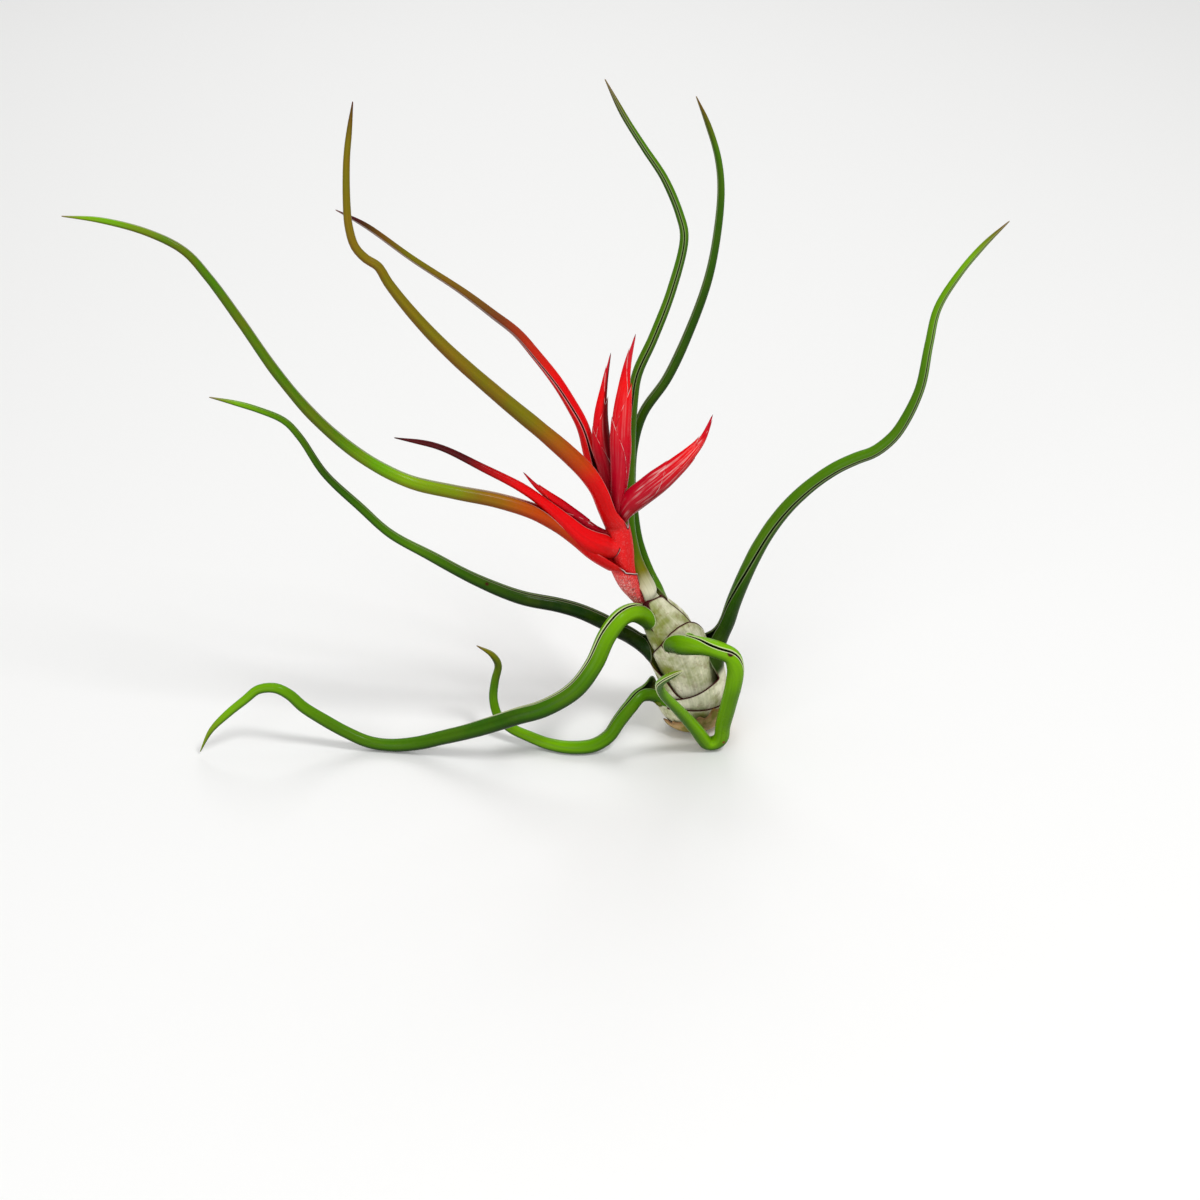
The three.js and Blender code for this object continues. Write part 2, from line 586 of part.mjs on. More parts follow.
// ---------------------------------------------------------------- the flower spikes
// Each spike is a flat bud-like head of bracts in two ranks. route is its middle line.
const SPIKES = {
  low_left: {
    route: [
      [-27, -4.9, 62.8], [-31.2, -6.2, 67.3], [-35.2, -7.2, 71], [-38.8, -7.6, 74.3],
      [-41.6, -7.3, 76.8], [-44.7, -6.5, 80.2],
    ],
    half: [[0, 0.7], [0.2, 1.25], [0.55, 1.3], [0.8, 0.8], [1, 0.3]],
    bracts: 2,
  },
  mid_left: {
    route: [
      [-22.1, -2.5, 67], [-23.3, -1.5, 77], [-24.9, -0.5, 85], [-25.2, 0.5, 92],
      [-24.2, 1.5, 100.3], [-22.7, 2, 109],
    ],
    half: [[0, 0.7], [0.2, 2], [0.4, 2.5], [0.62, 2], [0.85, 1.1], [1, 0.3]],
    bracts: 4,
  },
  mid_right: {
    route: [
      [-21.1, -4.1, 67.3], [-20.4, -4.8, 78], [-20.2, -4.5, 84], [-20.2, -4, 91],
      [-19.5, -3, 99.5], [-18.6, -2.5, 107.3], [-16.7, -2.5, 116],
    ],
    half: [[0, 0.7], [0.2, 2], [0.4, 2.6], [0.62, 2.2], [0.85, 1.2], [1, 0.3]],
    bracts: 4,
  },
  right: {
    route: [
      [-19.3, -3.2, 66.6], [-16.6, -5.4, 71.2], [-12.4, -7, 76.2], [-7.5, -8, 81.5],
      [-3.1, -9, 86.7], [-0.3, -9, 90.5], [2.3, -9, 97.4],
    ],
    half: [[0, 0.7], [0.2, 2.4], [0.45, 2.7], [0.7, 1.9], [0.87, 0.9], [1, 0.3]],
    bracts: 4,
  },
};

const SPIKE_FACETS = { sides: 10, steps: 9 };
const BRACT_FACETS = { sides: 8, steps: 6 };
const FIRST_BRACT = 0.08;         // share of the spike at which its lowest bract starts
const BRACT_REACH = 0.56;         // share of the spike over which the bracts start
const BRACT_LENGTH = 0.4;         // share of the spike that one bract covers
// How far a bract's middle has moved to its side, by the share of its length, and its width,
// both in half widths of the spike.
const BRACT_LEAN = [[0, 0.1], [0.25, 0.35], [0.5, 0.5], [0.75, 0.62], [1, 0.95]];
const BRACT_WIDTH = [[0, 0.35], [0.3, 0.62], [0.65, 0.5], [1, 0.05]];

// Half depths that go with half widths: a flat section with a least depth of its own.
function flattened(widths, flatness, least) {
  return widths.map(([share, width]) => [share, width * flatness + least]);
}

function spikeBract(line, broad, half, start, hand) {
  const points = BRACT_LEAN.map(([share, lean]) => {
    const place = start + BRACT_LENGTH * share;
    return line.getPointAt(place).addScaledVector(broad, hand * lean * along(half, place));
  });
  const size = along(half, start + BRACT_LENGTH / 3);
  const widths = BRACT_WIDTH.map(([share, width]) => [share, width * size]);
  const depths = flattened(widths, 0.75, 0.3);
  return ovalBody({ line: smoothCurve(points), broad, widths, depths, ...BRACT_FACETS });
}

function spike({ route, half, bracts }) {
  const line = smoothCurve(route.map(point));
  const broad = line.getTangentAt(0.5).cross(FRONT).normalize();
  const depths = flattened(half, 0.55, 0.25);
  let solid = ovalBody({ line, broad, widths: half, depths, ...SPIKE_FACETS });
  for (let k = 0; k < bracts; k += 1) {
    const start = FIRST_BRACT + (BRACT_REACH * k) / bracts;
    const hand = k % 2 ? 1 : -1;
    solid = solid.add(spikeBract(line, broad, half, start, hand));
  }
  return solid.simplify(SMALLEST_FACET);
}

// ---------------------------------------------------------------- finishes
const finish = (color, roughness) => new THREE.MeshStandardMaterial({
  color, roughness, metalness: 0, side: THREE.FrontSide,
});
const FINISHES = {
  leaf: finish('#5f8f1c', 0.42),
  bract: finish('#d4161a', 0.4),
  spike: finish('#d81336', 0.38),
  stem: finish('#8b6a43', 0.8),
  dry: finish('#b9955a', 0.75),
};

// ---------------------------------------------------------------- the plant
const pieces = [];
const addPiece = (name, solid, material) => pieces.push({ name, solid, material });

addPiece('stem', stem(), FINISHES.stem);
addPiece('dry_sheath', bareSheath(bulbSpec('dry', DRY_SHEATH)), FINISHES.dry);
for (const [name, spec] of Object.entries(BULB_LEAVES)) {
  addPiece(`leaf_${name}`, leaf(bulbSpec(name, spec)), FINISHES.leaf);
}
for (const [name, spec] of Object.entries(SCAPE_BRACTS)) {
  addPiece(`bract_${name}`, leaf(scapeSpec(spec)), FINISHES.bract);
}
for (const [name, spec] of Object.entries(SPIKES)) {
  addPiece(`spike_${name}`, spike(spec), FINISHES.spike);
}

const plant = new THREE.Group();
plant.name = 'bulbosa_air_plant';
for (const { name, solid, material } of pieces) {
  const mesh = new THREE.Mesh(geometryOf(solid), material);
  mesh.name = name;
  plant.add(mesh);
}
export default plant;
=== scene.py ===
"""A bulbous air plant in flower, lying on a pale studio floor.

The plant is a false bulb of nested leaf sheaths whose leaves end in long rolled blades, and a
scape with leafy bracts and flattened flower spikes. Each leaf is one sheet: its sheath is a
grid bent round the bulb, and its blade is extruded from the top of that grid, rolled as it goes.
"""

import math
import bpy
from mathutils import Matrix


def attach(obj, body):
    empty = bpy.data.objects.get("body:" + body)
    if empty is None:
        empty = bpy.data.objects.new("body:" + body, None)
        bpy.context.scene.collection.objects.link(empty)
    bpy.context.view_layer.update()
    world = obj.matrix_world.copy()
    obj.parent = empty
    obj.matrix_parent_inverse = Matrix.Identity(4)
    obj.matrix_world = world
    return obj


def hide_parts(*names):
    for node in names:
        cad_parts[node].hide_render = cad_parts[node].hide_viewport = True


bl_info = {
    "name": "Bulbous air plant",
    "version": (1, 0, 0),
    "blender": (4, 5, 0),
    "location": "3D View > Sidebar > Air plant",
    "description": "Makes a bulbous air plant in flower around its frame",
    "category": "Add Mesh",
}

from bisect import bisect_left

import bmesh
import bpy
from bpy.props import FloatProperty, FloatVectorProperty, PointerProperty
from bpy.types import NodeSocket, Operator, Panel, PropertyGroup
from mathutils import Quaternion, Vector, noise
from mathutils.kdtree import KDTree

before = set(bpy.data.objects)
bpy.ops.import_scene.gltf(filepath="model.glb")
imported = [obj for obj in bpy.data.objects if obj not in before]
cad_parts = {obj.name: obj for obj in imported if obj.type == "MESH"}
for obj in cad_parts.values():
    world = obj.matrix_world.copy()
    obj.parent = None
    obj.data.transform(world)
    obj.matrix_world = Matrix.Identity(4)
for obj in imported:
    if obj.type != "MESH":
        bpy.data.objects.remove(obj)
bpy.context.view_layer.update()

MM = 0.001
BODY = "root"
FRONT = Vector((0, -1, 0))


# ---------------------------------------------------------------- sizes and colours
def millimetres(name, description, value):
    """A size that the user sets, in millimetres here and in metres in Blender."""
    return FloatProperty(
        name=name,
        description=description,
        default=value * MM,
        min=0,
        subtype="DISTANCE",
        unit="LENGTH",
    )


def linear(code):
    """Linear red, green and blue of a colour written as six hex digits."""
    parts = [int(code[i : i + 2], 16) / 255 for i in (0, 2, 4)]
    return tuple(p / 12.92 if p <= 0.04045 else ((p + 0.055) / 1.055) ** 2.4 for p in parts)


def colour(name, description, code):
    """A colour that the user sets."""
    return FloatVectorProperty(
        name=name,
        description=description,
        default=linear(code),
        size=3,
        min=0,
        max=1,
        subtype="COLOR",
    )


class PlantSizes(PropertyGroup):
    """Sizes of the plant's pieces."""

    sheath_wall: millimetres("Sheath wall", "Thickness of a leaf's sheath", 0.6)
    blade_wall: millimetres("Blade wall", "Thickness of a rolled blade", 0.62)
    bract_wall: millimetres("Floral bract wall", "Thickness of a bract of a flower spike", 0.3)
    fine_step: millimetres("Step", "Longest stretch of a blade between two rows of faces", 1.3)


class PlantColours(PropertyGroup):
    """Colours of the plant's pieces."""

    cream: colour("Cream", "Pale ground of the bulb", "F2EDD4")
    mottle: colour("Mottle", "Green tinge of the bulb", "7A841C")
    bright: colour("Bright green", "Young blades", "70A803")
    fresh: colour("Fresh green", "Blades in full growth", "467602")
    deep: colour("Deep green", "Old blades", "275202")
    # painted shade: green for stretches of blade that lie in the shade of others
    painted_shade_green: colour("Dark green", "Shaded blades", "102E02")
    olive: colour("Olive", "Bracts where green meets red", "746C08")
    amber: colour("Amber", "Bracts between olive and red", "B84304")
    red: colour("Red", "Bracts near the flowers", "E80508")
    rose: colour("Rose", "Flower spikes", "B80722")
    maroon: colour("Maroon", "Tips of the bracts", "3C0A0C")
    brown: colour("Brown", "Dry tips", "6E3C18")
    pale: colour("Pale margin", "Thin edges of the leaves", "EBF0BE")
    bark: colour("Bark", "Woody stem", "6F5233")
    tan: colour("Tan", "Dry papery sheath", "BC9A66")
    scurf: colour("Scurf", "Whitish scales", "F1E2DC")
    floor: colour("Floor", "Studio floor", "F4F4F3")


# ---------------------------------------------------------------- small helpers
def along(pairs, place):
    """A value that runs in straight lines through (place, value) pairs."""
    if place <= pairs[0][0]:
        return pairs[0][1]
    for (x0, y0), (x1, y1) in zip(pairs, pairs[1:]):
        if place <= x1:
            return y0 + (y1 - y0) * (place - x0) / (x1 - x0)
    return pairs[-1][1]


def softly(pairs, place, blur):
    """The same with its corners rounded over a stretch of blur on either side."""
    steps = (-1, -0.5, 0, 0.5, 1)
    return sum(along(pairs, place + blur * k) for k in steps) / len(steps)


def clamp(value, low=0.0, high=1.0):
    return max(low, min(high, value))


def ease(value):
    value = clamp(value)
    return value * value * (3 - 2 * value)


def mix(a, b, share):
    return a + (b - a) * share


def outward(rise, azimuth):
    """The direction that points out of an axis at an azimuth: 0 is the front, 90 the right."""
    front = (FRONT - rise * FRONT.dot(rise)).normalized()
    right = rise.cross(front)
    angle = math.radians(azimuth)
    return front * math.cos(angle) + right * math.sin(angle)


class Path:
    """A smooth line through points, read by the share of its length."""

    def __init__(self, points, start=0.0, per_span=24):
        self.points = [Vector(p) for p in points]
        count = per_span * (len(points) - 1)
        self.spots = [self.raw(mix(start, 1, i / count)) for i in range(count + 1)]
        self.reaches = [0.0]
        for a, b in zip(self.spots, self.spots[1:]):
            self.reaches.append(self.reaches[-1] + (b - a).length)
        self.length = self.reaches[-1]

    def raw(self, share):
        """A centripetal spline, by the share of its spans."""
        pts = self.points
        last = len(pts) - 1
        span = min(int(share * last), last - 1)
        weight = share * last - span
        b, c = pts[span], pts[span + 1]
        a = pts[span - 1] if span else 2 * b - c
        d = pts[span + 2] if span + 2 <= last else 2 * c - b
        g0, g1, g2 = (max((q - p).length, 1e-8) ** 0.5 for p, q in ((a, b), (b, c), (c, d)))
        t1 = ((b - a) / g0 - (c - a) / (g0 + g1) + (c - b) / g1) * g1
        t2 = ((c - b) / g1 - (d - b) / (g1 + g2) + (d - c) / g2) * g1
        w2, w3 = weight * weight, weight**3
        return b + t1 * weight + (3 * (c - b) - 2 * t1 - t2) * w2 + (2 * (b - c) + t1 + t2) * w3

    def at(self, share):
        reach = clamp(share) * self.length
        i = clamp(bisect_left(self.reaches, reach), 1, len(self.spots) - 1)
        low, high = self.reaches[i - 1], self.reaches[i]
        return self.spots[i - 1].lerp(self.spots[i], (reach - low) / (high - low))

    def heading(self, share):
        gap = 0.5 / self.length
        return (self.at(share + gap) - self.at(share - gap)).normalized()

    def at_height(self, height):
        """The point and the direction of a rising line at a height."""
        low, high = 0.0, 1.0
        for _ in range(24):
            middle = (low + high) / 2
            if self.at(middle).z < height:
                low = middle
            else:
                high = middle
        return self.at(low), self.heading(low)


# ---------------------------------------------------------------- the plant's driving shapes
# Lengths are in millimetres and angles in degrees. An azimuth is 0 at the front and 90 at the
# right, and a sheath's angles count from its midrib. A pair (place, value) has its place along
# the blade, from 0 at the root to 1 at the tip, or on a height or an angle.
BULB_AXIS = Path(
    [(0, 0, 0), (-0.8, 0, 13), (-3.6, 0, 23), (-7, 0, 31), (-11.8, -0.4, 38), (-15.5, -1, 44)]
)
STEM_LINE = Path([
    (0, 0, 0), (-0.8, 0, 13), (-3.8, 0, 23), (-7.7, -0.2, 31), (-12.9, -0.7, 38.5),
    (-16.7, -1.6, 44.5), (-18.9, -2.4, 51), (-20, -2.8, 58.5), (-21.3, -3, 66), (-22, -3, 73),
])
LONG_LINE = Path([
    (-12.7, -0.6, 36), (-14, -0.7, 38), (-17.4, -1.5, 44.5), (-19.1, -2.4, 51),
    (-20.1, -2.8, 58.5), (-21.3, -3, 66),
])
STEM_RADII = [
    (0, 3.5), (1.2, 4), (3, 3.6), (8, 2.3), (14, 1.7), (22, 1.4), (31, 1.1), (38, 0.8), (66, 0.8),
]
INNER_BULB = [
    (15, 5.9), (20, 6.3), (26, 6.8), (30, 6.9), (33, 6.4), (36, 5.4), (38.5, 4.9), (43, 4.6),
]
# from the inside out
LAYERS = [
    "back_left", "back_right", "front_left", "curl", "mid_left", "right", "low_left", "dry",
]
PITCHES = [(31, 1.25), (37, 1.05)]
BULB_WAIST = 15
CLEARANCE = 0.3
BLADE_ROLL = 171
ROLL_LIMIT = 173

LEAVES = {
    "low_left": dict(
        azimuth=-80, root=10.5, wrap=(150, 170), base=40, collar=8,
        rim=[(-150, -1), (-40, 0), (40, 0), (60, 0.5), (170, -2)],
        route=[
            (-14.5, -5.5, 12.5), (-17.5, -8.5, 10.5), (-20.5, -11, 7.5), (-23, -13, 4.4),
            (-27, -14.3, 2.3), (-33, -14.5, 1.7), (-39, -13, 1.8), (-44.5, -11, 2.9),
            (-49, -9, 4), (-52.5, -7, 6.2), (-54, -5, 10.6), (-53.5, -4, 16), (-52.5, -4, 21),
            (-54, -5, 25), (-58, -6, 28.5),
        ],
        radii=[(0, 2.1), (0.4, 1.8), (0.7, 1.25), (0.92, 0.95), (1, 0.12)],
        twist=[(0, 0), (0.08, 20), (0.3, 60), (0.6, 100)],
        tints=[
            (0, "fresh"), (0.25, "fresh"), (0.5, "bright"), (0.8, "fresh"), (0.97, "olive"),
            (1, "brown"),
        ],
    ),
    "mid_left": dict(
        azimuth=-95, root=23.5, wrap=(165, 110), base=31,
        rim=[(-165, -10), (-60, 1), (-31, 0), (31, 0), (46, -3), (62, -9), (110, -14)],
        route=[
            (-17.5, -1, 28.5), (-20.5, -3, 31.5), (-24.6, -4.5, 35), (-30.5, -6, 39),
            (-36, -7, 41.5), (-46, -8, 44.5), (-57.5, -9, 50.5), (-68.5, -10, 58),
            (-78.5, -10, 64.5), (-85.5, -10, 72), (-94, -9, 81), (-99.5, -8, 90.5),
            (-103, -8, 95), (-109, -8, 98), (-115, -8, 100), (-121, -8, 101.5),
        ],
        radii=[(0, 2.3), (0.3, 1.9), (0.55, 1.2), (0.95, 0.75), (1, 0.12)],
        # the dark green near the root is painted shade from the bulb and bracts above it
        tints=[
            (0, "painted_shade_green"), (0.28, "painted_shade_green"), (0.42, "deep"), (0.55, "fresh"), (0.75, "deep"),
            (0.95, "bright"), (1, "brown"),
        ],
        marks=[((-54.2, -10.6, 50), 1.0, "maroon"), ((-54.2, -10.6, 50), 0.5, "tan")],
    ),
    "right": dict(
        azimuth=110, root=16, wrap=(160, 160), base=55, collar=13,
        rim=[(-160, -3), (-55, 0), (55, 0), (160, -3)],
        route=[
            (5.5, 2.4, 22.5), (7, 1.6, 27.5), (8.4, 0.8, 31.8), (9.8, -0.5, 38.5),
            (12.3, -2, 47.5), (15.5, -3, 56.5), (19, -4, 64), (23, -5, 70.5), (28, -6, 76.5),
            (33.5, -7, 81.5), (38.5, -7.5, 84.5), (42.5, -8, 86.5), (46, -8, 89.5),
            (48.5, -8, 93), (52.5, -8, 103.5), (54, -7, 115), (55.5, -6, 124), (60, -6, 133),
            (65, -6, 140), (70.5, -6, 146),
        ],
        radii=[(0, 2.6), (0.1, 2.1), (0.5, 1.6), (0.75, 1.1), (0.95, 0.75), (1, 0.12)],
        twist=[(0, 0), (0.1, -10), (0.25, 65), (0.6, 80)],
        # the dark green at the root is painted shade
        tints=[
            (0, "painted_shade_green"), (0.12, "deep"), (0.3, "fresh"), (0.7, "fresh"), (0.92, "bright"),
            (1, "brown"),
        ],
    ),
    "curl": dict(
        azimuth=15, root=28, wrap=(105, 195), base=29, crown=True, lip=0.6,
        rim=[
            (-105, -5), (-85, -1.8), (-62, 0.8), (-30, 3.7), (-8, 4.8), (15, 4.8), (38, 4),
            (55, 2.4), (75, -0.8), (90, -2.2), (195, -5),
        ],
        route=[
            (-3.4, -10.8, 31.8), (1.8, -13.5, 32.9), (5.8, -15.5, 32.8), (8.7, -16.5, 31.6),
            (9.7, -17, 28.3), (9.4, -17, 23.5), (8.7, -16, 18.5), (7.9, -14.8, 13),
            (7.2, -13.8, 8.2), (7, -13.4, 4.6), (6.1, -13.1, 2.8), (4.5, -13, 2),
            (3, -13.3, 2.5), (2.1, -13.8, 3.9), (0, -15.2, 8), (-2.6, -17, 12.6),
            (-6.2, -20.5, 19.2), (-9.4, -24, 25.4), (-10.3, -27, 29.9), (-9.3, -30, 33.4),
            (-6.9, -33, 37), (-4.8, -36, 40),
        ],
        radii=[
            (0, 3.1), (0.06, 2.9), (0.13, 2.35), (0.5, 2), (0.75, 1.35), (0.95, 0.9), (1, 0.12),
        ],
        twist=[
            (0, 0), (0.03, -25), (0.08, -20), (0.12, 15), (0.17, 55), (0.2, 25), (0.24, -25),
            (1, -20),
        ],
        tints=[(0, "fresh"), (0.12, "bright"), (0.6, "bright"), (0.9, "bright"), (1, "mottle")],
        marks=[((8.2, -18.1, 33.6), 1.1, "maroon"), ((7.6, -15.5, 3.8), 0.7, "brown")],
    ),
    "front_left": dict(
        azimuth=-62, root=34.5, wrap=(165, 132), base=33, crown=True, lip=0.6,
        rim=[
            (-165, -5), (-110, -3), (-70, 0.5), (-33, 2), (20, 5), (40, 6.5), (71, 7), (132, 5.2),
        ],
        route=[
            (-16.5, -6.6, 39), (-20, -10, 39.5), (-23.5, -13, 36), (-27, -17, 29.5),
            (-32, -19, 23), (-40, -20, 18), (-47, -20, 15.5), (-53, -19, 12.5), (-60, -17.5, 9),
            (-67, -16, 6), (-74, -14.5, 3.1), (-81, -13.5, 1.75), (-87, -13, 2.4),
            (-93, -12.5, 5.2), (-99, -12, 9), (-104, -12, 13), (-107.5, -12, 17),
            (-111, -12, 19), (-115.5, -12, 18.5), (-119, -13, 16), (-124, -14, 12),
            (-128.5, -15, 7.5), (-132, -15.5, 0.9),
        ],
        radii=[(0, 2.6), (0.35, 2.3), (0.6, 1.7), (0.75, 1.55), (0.93, 0.95), (1, 0.12)],
        twist=[(0, 0), (0.06, -5), (0.2, 25), (0.4, 60), (0.6, 100)],
        tints=[
            (0, "fresh"), (0.08, "bright"), (0.2, "fresh"), (0.35, "deep"), (0.7, "fresh"),
            (0.9, "bright"), (1, "mottle"),
        ],
    ),
    "back_right": dict(
        azimuth=132, root=36.5, wrap=(150, 150), base=50,
        rim=[(-150, -1), (-95, 3), (-70, 3), (-50, 0.5), (50, 0), (150, -4)],
        route=[
            (-10.3, 3.5, 40.6), (-12.3, 5.7, 44), (-14, 8, 47.5), (-15.4, 10, 51.5),
            (-16.5, 12, 58), (-17.3, 13, 66), (-16.8, 15, 76), (-14.3, 16, 85.5),
            (-8.2, 17, 95), (-2.6, 18, 108), (1.6, 18, 121.5), (3.5, 18, 133),
            (4.1, 17, 145.5), (3, 16, 154), (0.3, 15, 162.5), (-2.7, 14, 169.5),
        ],
        radii=[(0, 1.35), (0.5, 1.25), (0.8, 0.95), (0.95, 0.7), (1, 0.12)],
        tints=[(0, "fresh"), (0.2, "deep"), (0.6, "deep"), (0.9, "fresh"), (1, "brown")],
    ),
    "back_left": dict(
        azimuth=70, root=39.5, wrap=(150, 150), base=85,
        rim=[(-150, -1), (-85, 0), (85, 0), (150, -2)],
        route=[
            (-13.4, -0.5, 42.4), (-14.9, 0.8, 45.2), (-16.5, 3, 49), (-17.6, 5.5, 54.5),
            (-17.9, 7.5, 60), (-17.8, 9, 67), (-17.7, 10, 74), (-17.5, 11, 83), (-17, 11, 92),
            (-16, 11, 99), (-12, 11, 109), (-7.6, 11, 122), (-4.9, 10, 136), (-6.1, 10, 141.5),
            (-10, 9, 151), (-15, 8, 159), (-19.8, 7, 167), (-24.3, 6, 176),
        ],
        radii=[
            (0, 2.9), (0.04, 2.8), (0.08, 2.3), (0.16, 1.5), (0.5, 1.3), (0.8, 0.95),
            (0.95, 0.7), (1, 0.12),
        ],
        roll=[(0, 95), (0.12, 95), (0.2, BLADE_ROLL)],
        twist=[(0, 0), (0.15, 0), (0.35, 110), (1, 130)],
        tints=[
            (0, "cream"), (0.06, "olive"), (0.12, "fresh"), (0.6, "fresh"), (0.9, "fresh"),
            (1, "brown"),
        ],
    ),
}

DRY_SHEATH = dict(
    azimuth=40, root=8, wrap=(115, 115), base=40,
    rim=[(-115, -5), (-70, -2), (-30, 1), (0, 2.5), (25, 0.5), (60, -1.5), (115, -5.5)],
)

BRACTS = {
    "long": dict(
        axis=LONG_LINE, azimuth=-75, foot=36.5, root=51, wrap=(150, 150), base=80, collar=10,
        outline=[(36.5, 0.9), (39, 1.7), (42, 2.2), (45, 2.9), (50, 3.7), (56, 4)],
        rim=[(-150, -3), (-80, 0), (80, 0), (150, -3)],
        route=[
            (-26.3, -5.8, 57.7), (-31, -7.5, 62.5), (-36.3, -8.5, 66.8), (-42, -10, 70.8),
            (-51, -11, 74.5), (-62, -12, 77.5), (-73, -12, 80.5), (-84, -12, 87.2),
            (-94.5, -12, 97.5), (-103, -12, 109.5), (-111, -11, 123), (-117.5, -11, 134),
            (-122.5, -11, 140.5), (-130.5, -11, 145), (-141, -11, 148), (-150, -11, 149),
        ],
        radii=[
            (0, 3.7), (0.06, 3.4), (0.12, 2.5), (0.2, 2), (0.6, 1.3), (0.8, 1.05), (0.95, 0.75),
            (1, 0.12),
        ],
        roll=[(0, 100), (0.06, 92), (0.12, 85), (0.2, BLADE_ROLL)],
        tints=[
            (0, "red"), (0.08, "red"), (0.12, "amber"), (0.18, "amber"), (0.27, "olive"),
            (0.38, "bright"), (0.5, "fresh"), (0.85, "fresh"), (0.97, "bright"), (1, "brown"),
        ],
        scurf=1.0,
    ),
    "tall": dict(
        axis=STEM_LINE, azimuth=-50, foot=46.5, root=63, wrap=(150, 150), base=100,
        outline=[(46.5, 1.85), (52, 2.7), (54, 3), (60, 3.3), (66, 3.5)],
        rim=[(-150, -3), (-100, 0), (100, 0), (150, 1)],
        route=[
            (-23.5, -6, 70), (-25.5, -8, 76), (-28.5, -10, 81.7), (-33, -11.5, 87.5),
            (-38.5, -13, 93.7), (-49.5, -15, 105), (-61.5, -17, 118), (-69, -18, 127.5),
            (-74.4, -18, 135.3), (-76.6, -18, 139.4), (-79.5, -18, 141.5), (-81.7, -18, 144.4),
            (-82.8, -17.6, 149), (-83, -17, 154), (-82.5, -16, 164), (-81.5, -15, 171),
            (-80.5, -14, 177),
        ],
        radii=[(0, 3), (0.1, 2.5), (0.25, 2.1), (0.55, 1.5), (0.7, 1.1), (0.95, 0.7), (1, 0.12)],
        roll=[(0, 100), (0.06, 95), (0.12, 115), (0.2, BLADE_ROLL)],
        tints=[
            (0, "red"), (0.13, "red"), (0.19, "amber"), (0.32, "olive"), (0.93, "olive"),
            (1, "maroon"),
        ],
        scurf=0.1,
    ),
    "thin": dict(
        axis=STEM_LINE, azimuth=-120, foot=54, root=68, wrap=(120, 120), base=60,
        outline=[(54, 1.85), (60, 2.2), (66, 2.45), (72, 2.5)],
        rim=[(-120, -3), (-60, 0), (60, 0), (120, -3)],
        route=[
            (-26.2, -0.5, 75), (-27.8, 1.8, 80.5), (-29.8, 2.5, 88.5), (-33, 3, 95),
            (-36.6, 3, 101.3), (-41, 3, 107.5), (-45.8, 3, 113.7), (-51.4, 3, 118.5),
            (-58.7, 3, 124.5), (-70.6, 2, 133.5), (-81.3, 1, 142.3), (-88, 0, 146.5),
        ],
        radii=[(0, 2), (0.2, 1.65), (0.45, 1.3), (0.7, 0.85), (0.93, 0.7), (1, 0.12)],
        roll=[(0, 100), (0.08, 150), (0.16, BLADE_ROLL)],
        twist=[(0, 0), (0.15, -40), (0.5, -90)],
        tints=[
            (0, "red"), (0.35, "red"), (0.55, "brown"), (0.8, "olive"), (0.95, "maroon"),
            (1, "maroon"),
        ],
        scurf=0.1,
    ),
    "short": dict(
        inward=(0.5, 0.4, 0.85),
        route=[
            (-21.8, -3, 57.4), (-24.8, -4.6, 58.9), (-28, -6.7, 61.2), (-31, -7.9, 64),
            (-34.2, -8.7, 67.6), (-37.6, -9.1, 71), (-44.5, -9, 76.7), (-54.4, -8, 82),
            (-65.7, -6, 87), (-76.7, -5, 89),
        ],
        radii=[
            (0, 3.4), (0.03, 4.2), (0.07, 4.3), (0.13, 3.7), (0.19, 2.9), (0.27, 2.2),
            (0.34, 1.6), (0.4, 1.3), (0.9, 0.7), (1, 0.12),
        ],
        roll=[(0, 140), (0.2, 130), (0.3, 140), (0.42, BLADE_ROLL)],
        tints=[(0, "red"), (0.5, "red"), (0.72, "maroon"), (1, "maroon")],
        scurf=0.1,
    ),
}

SPIKES = {
    "low_left": dict(
        route=[
            (-22, -3.5, 60), (-27, -5.3, 63), (-31.2, -6.4, 67.2), (-35.2, -7.2, 71),
            (-38.8, -7.6, 74.3), (-41.6, -7.3, 76.8), (-44.7, -6.5, 80.2),
        ],
        half=[(0, 0.9), (0.25, 1.6), (0.6, 1.5), (0.82, 0.8), (1, 0.12)],
        bracts=2, pallor=0.15,
    ),
    "mid_left": dict(
        route=[
            (-21.2, -2.7, 62), (-22.1, -2.5, 67), (-23.3, -1.5, 77), (-24.9, -0.5, 85),
            (-25.2, 0.5, 92), (-24.2, 1.5, 100.3), (-22.7, 2, 109),
        ],
        half=[(0, 0.9), (0.25, 2), (0.45, 2.4), (0.62, 1.8), (0.82, 0.8), (1, 0.1)],
        # the maroon on the right flank is painted shadow between the spikes
        bracts=3, pallor=0.15, painted_flank_shade=0.85,
    ),
    "mid_right": dict(
        route=[
            (-20.9, -3.4, 62), (-21.1, -4.1, 67.3), (-20.4, -4.8, 78), (-20.2, -4.5, 84),
            (-20.2, -4, 91), (-19.5, -3, 99.5), (-18.6, -2.5, 107.3), (-16.7, -2.5, 116),
        ],
        half=[(0, 0.9), (0.25, 2), (0.45, 2.6), (0.65, 2.1), (0.83, 1), (1, 0.1)],
        bracts=3, pallor=0.12,
    ),
    "right": dict(
        route=[
            (-20.5, -3, 62.5), (-19.3, -3.8, 67), (-16.6, -5.4, 71.7), (-12.4, -7, 76.4),
            (-7.5, -8, 81.5), (-3.1, -9, 86.7), (-0.3, -9, 90.5), (2.3, -9, 97.4),
        ],
        half=[(0, 0.9), (0.1, 2), (0.25, 3), (0.45, 3), (0.65, 2.1), (0.83, 0.9), (1, 0.1)],
        bracts=4, pallor=0.75,
    ),
}


def layer_foot(layer):
    return 0.7 + 1.15 * (len(LAYERS) - 1 - layer)


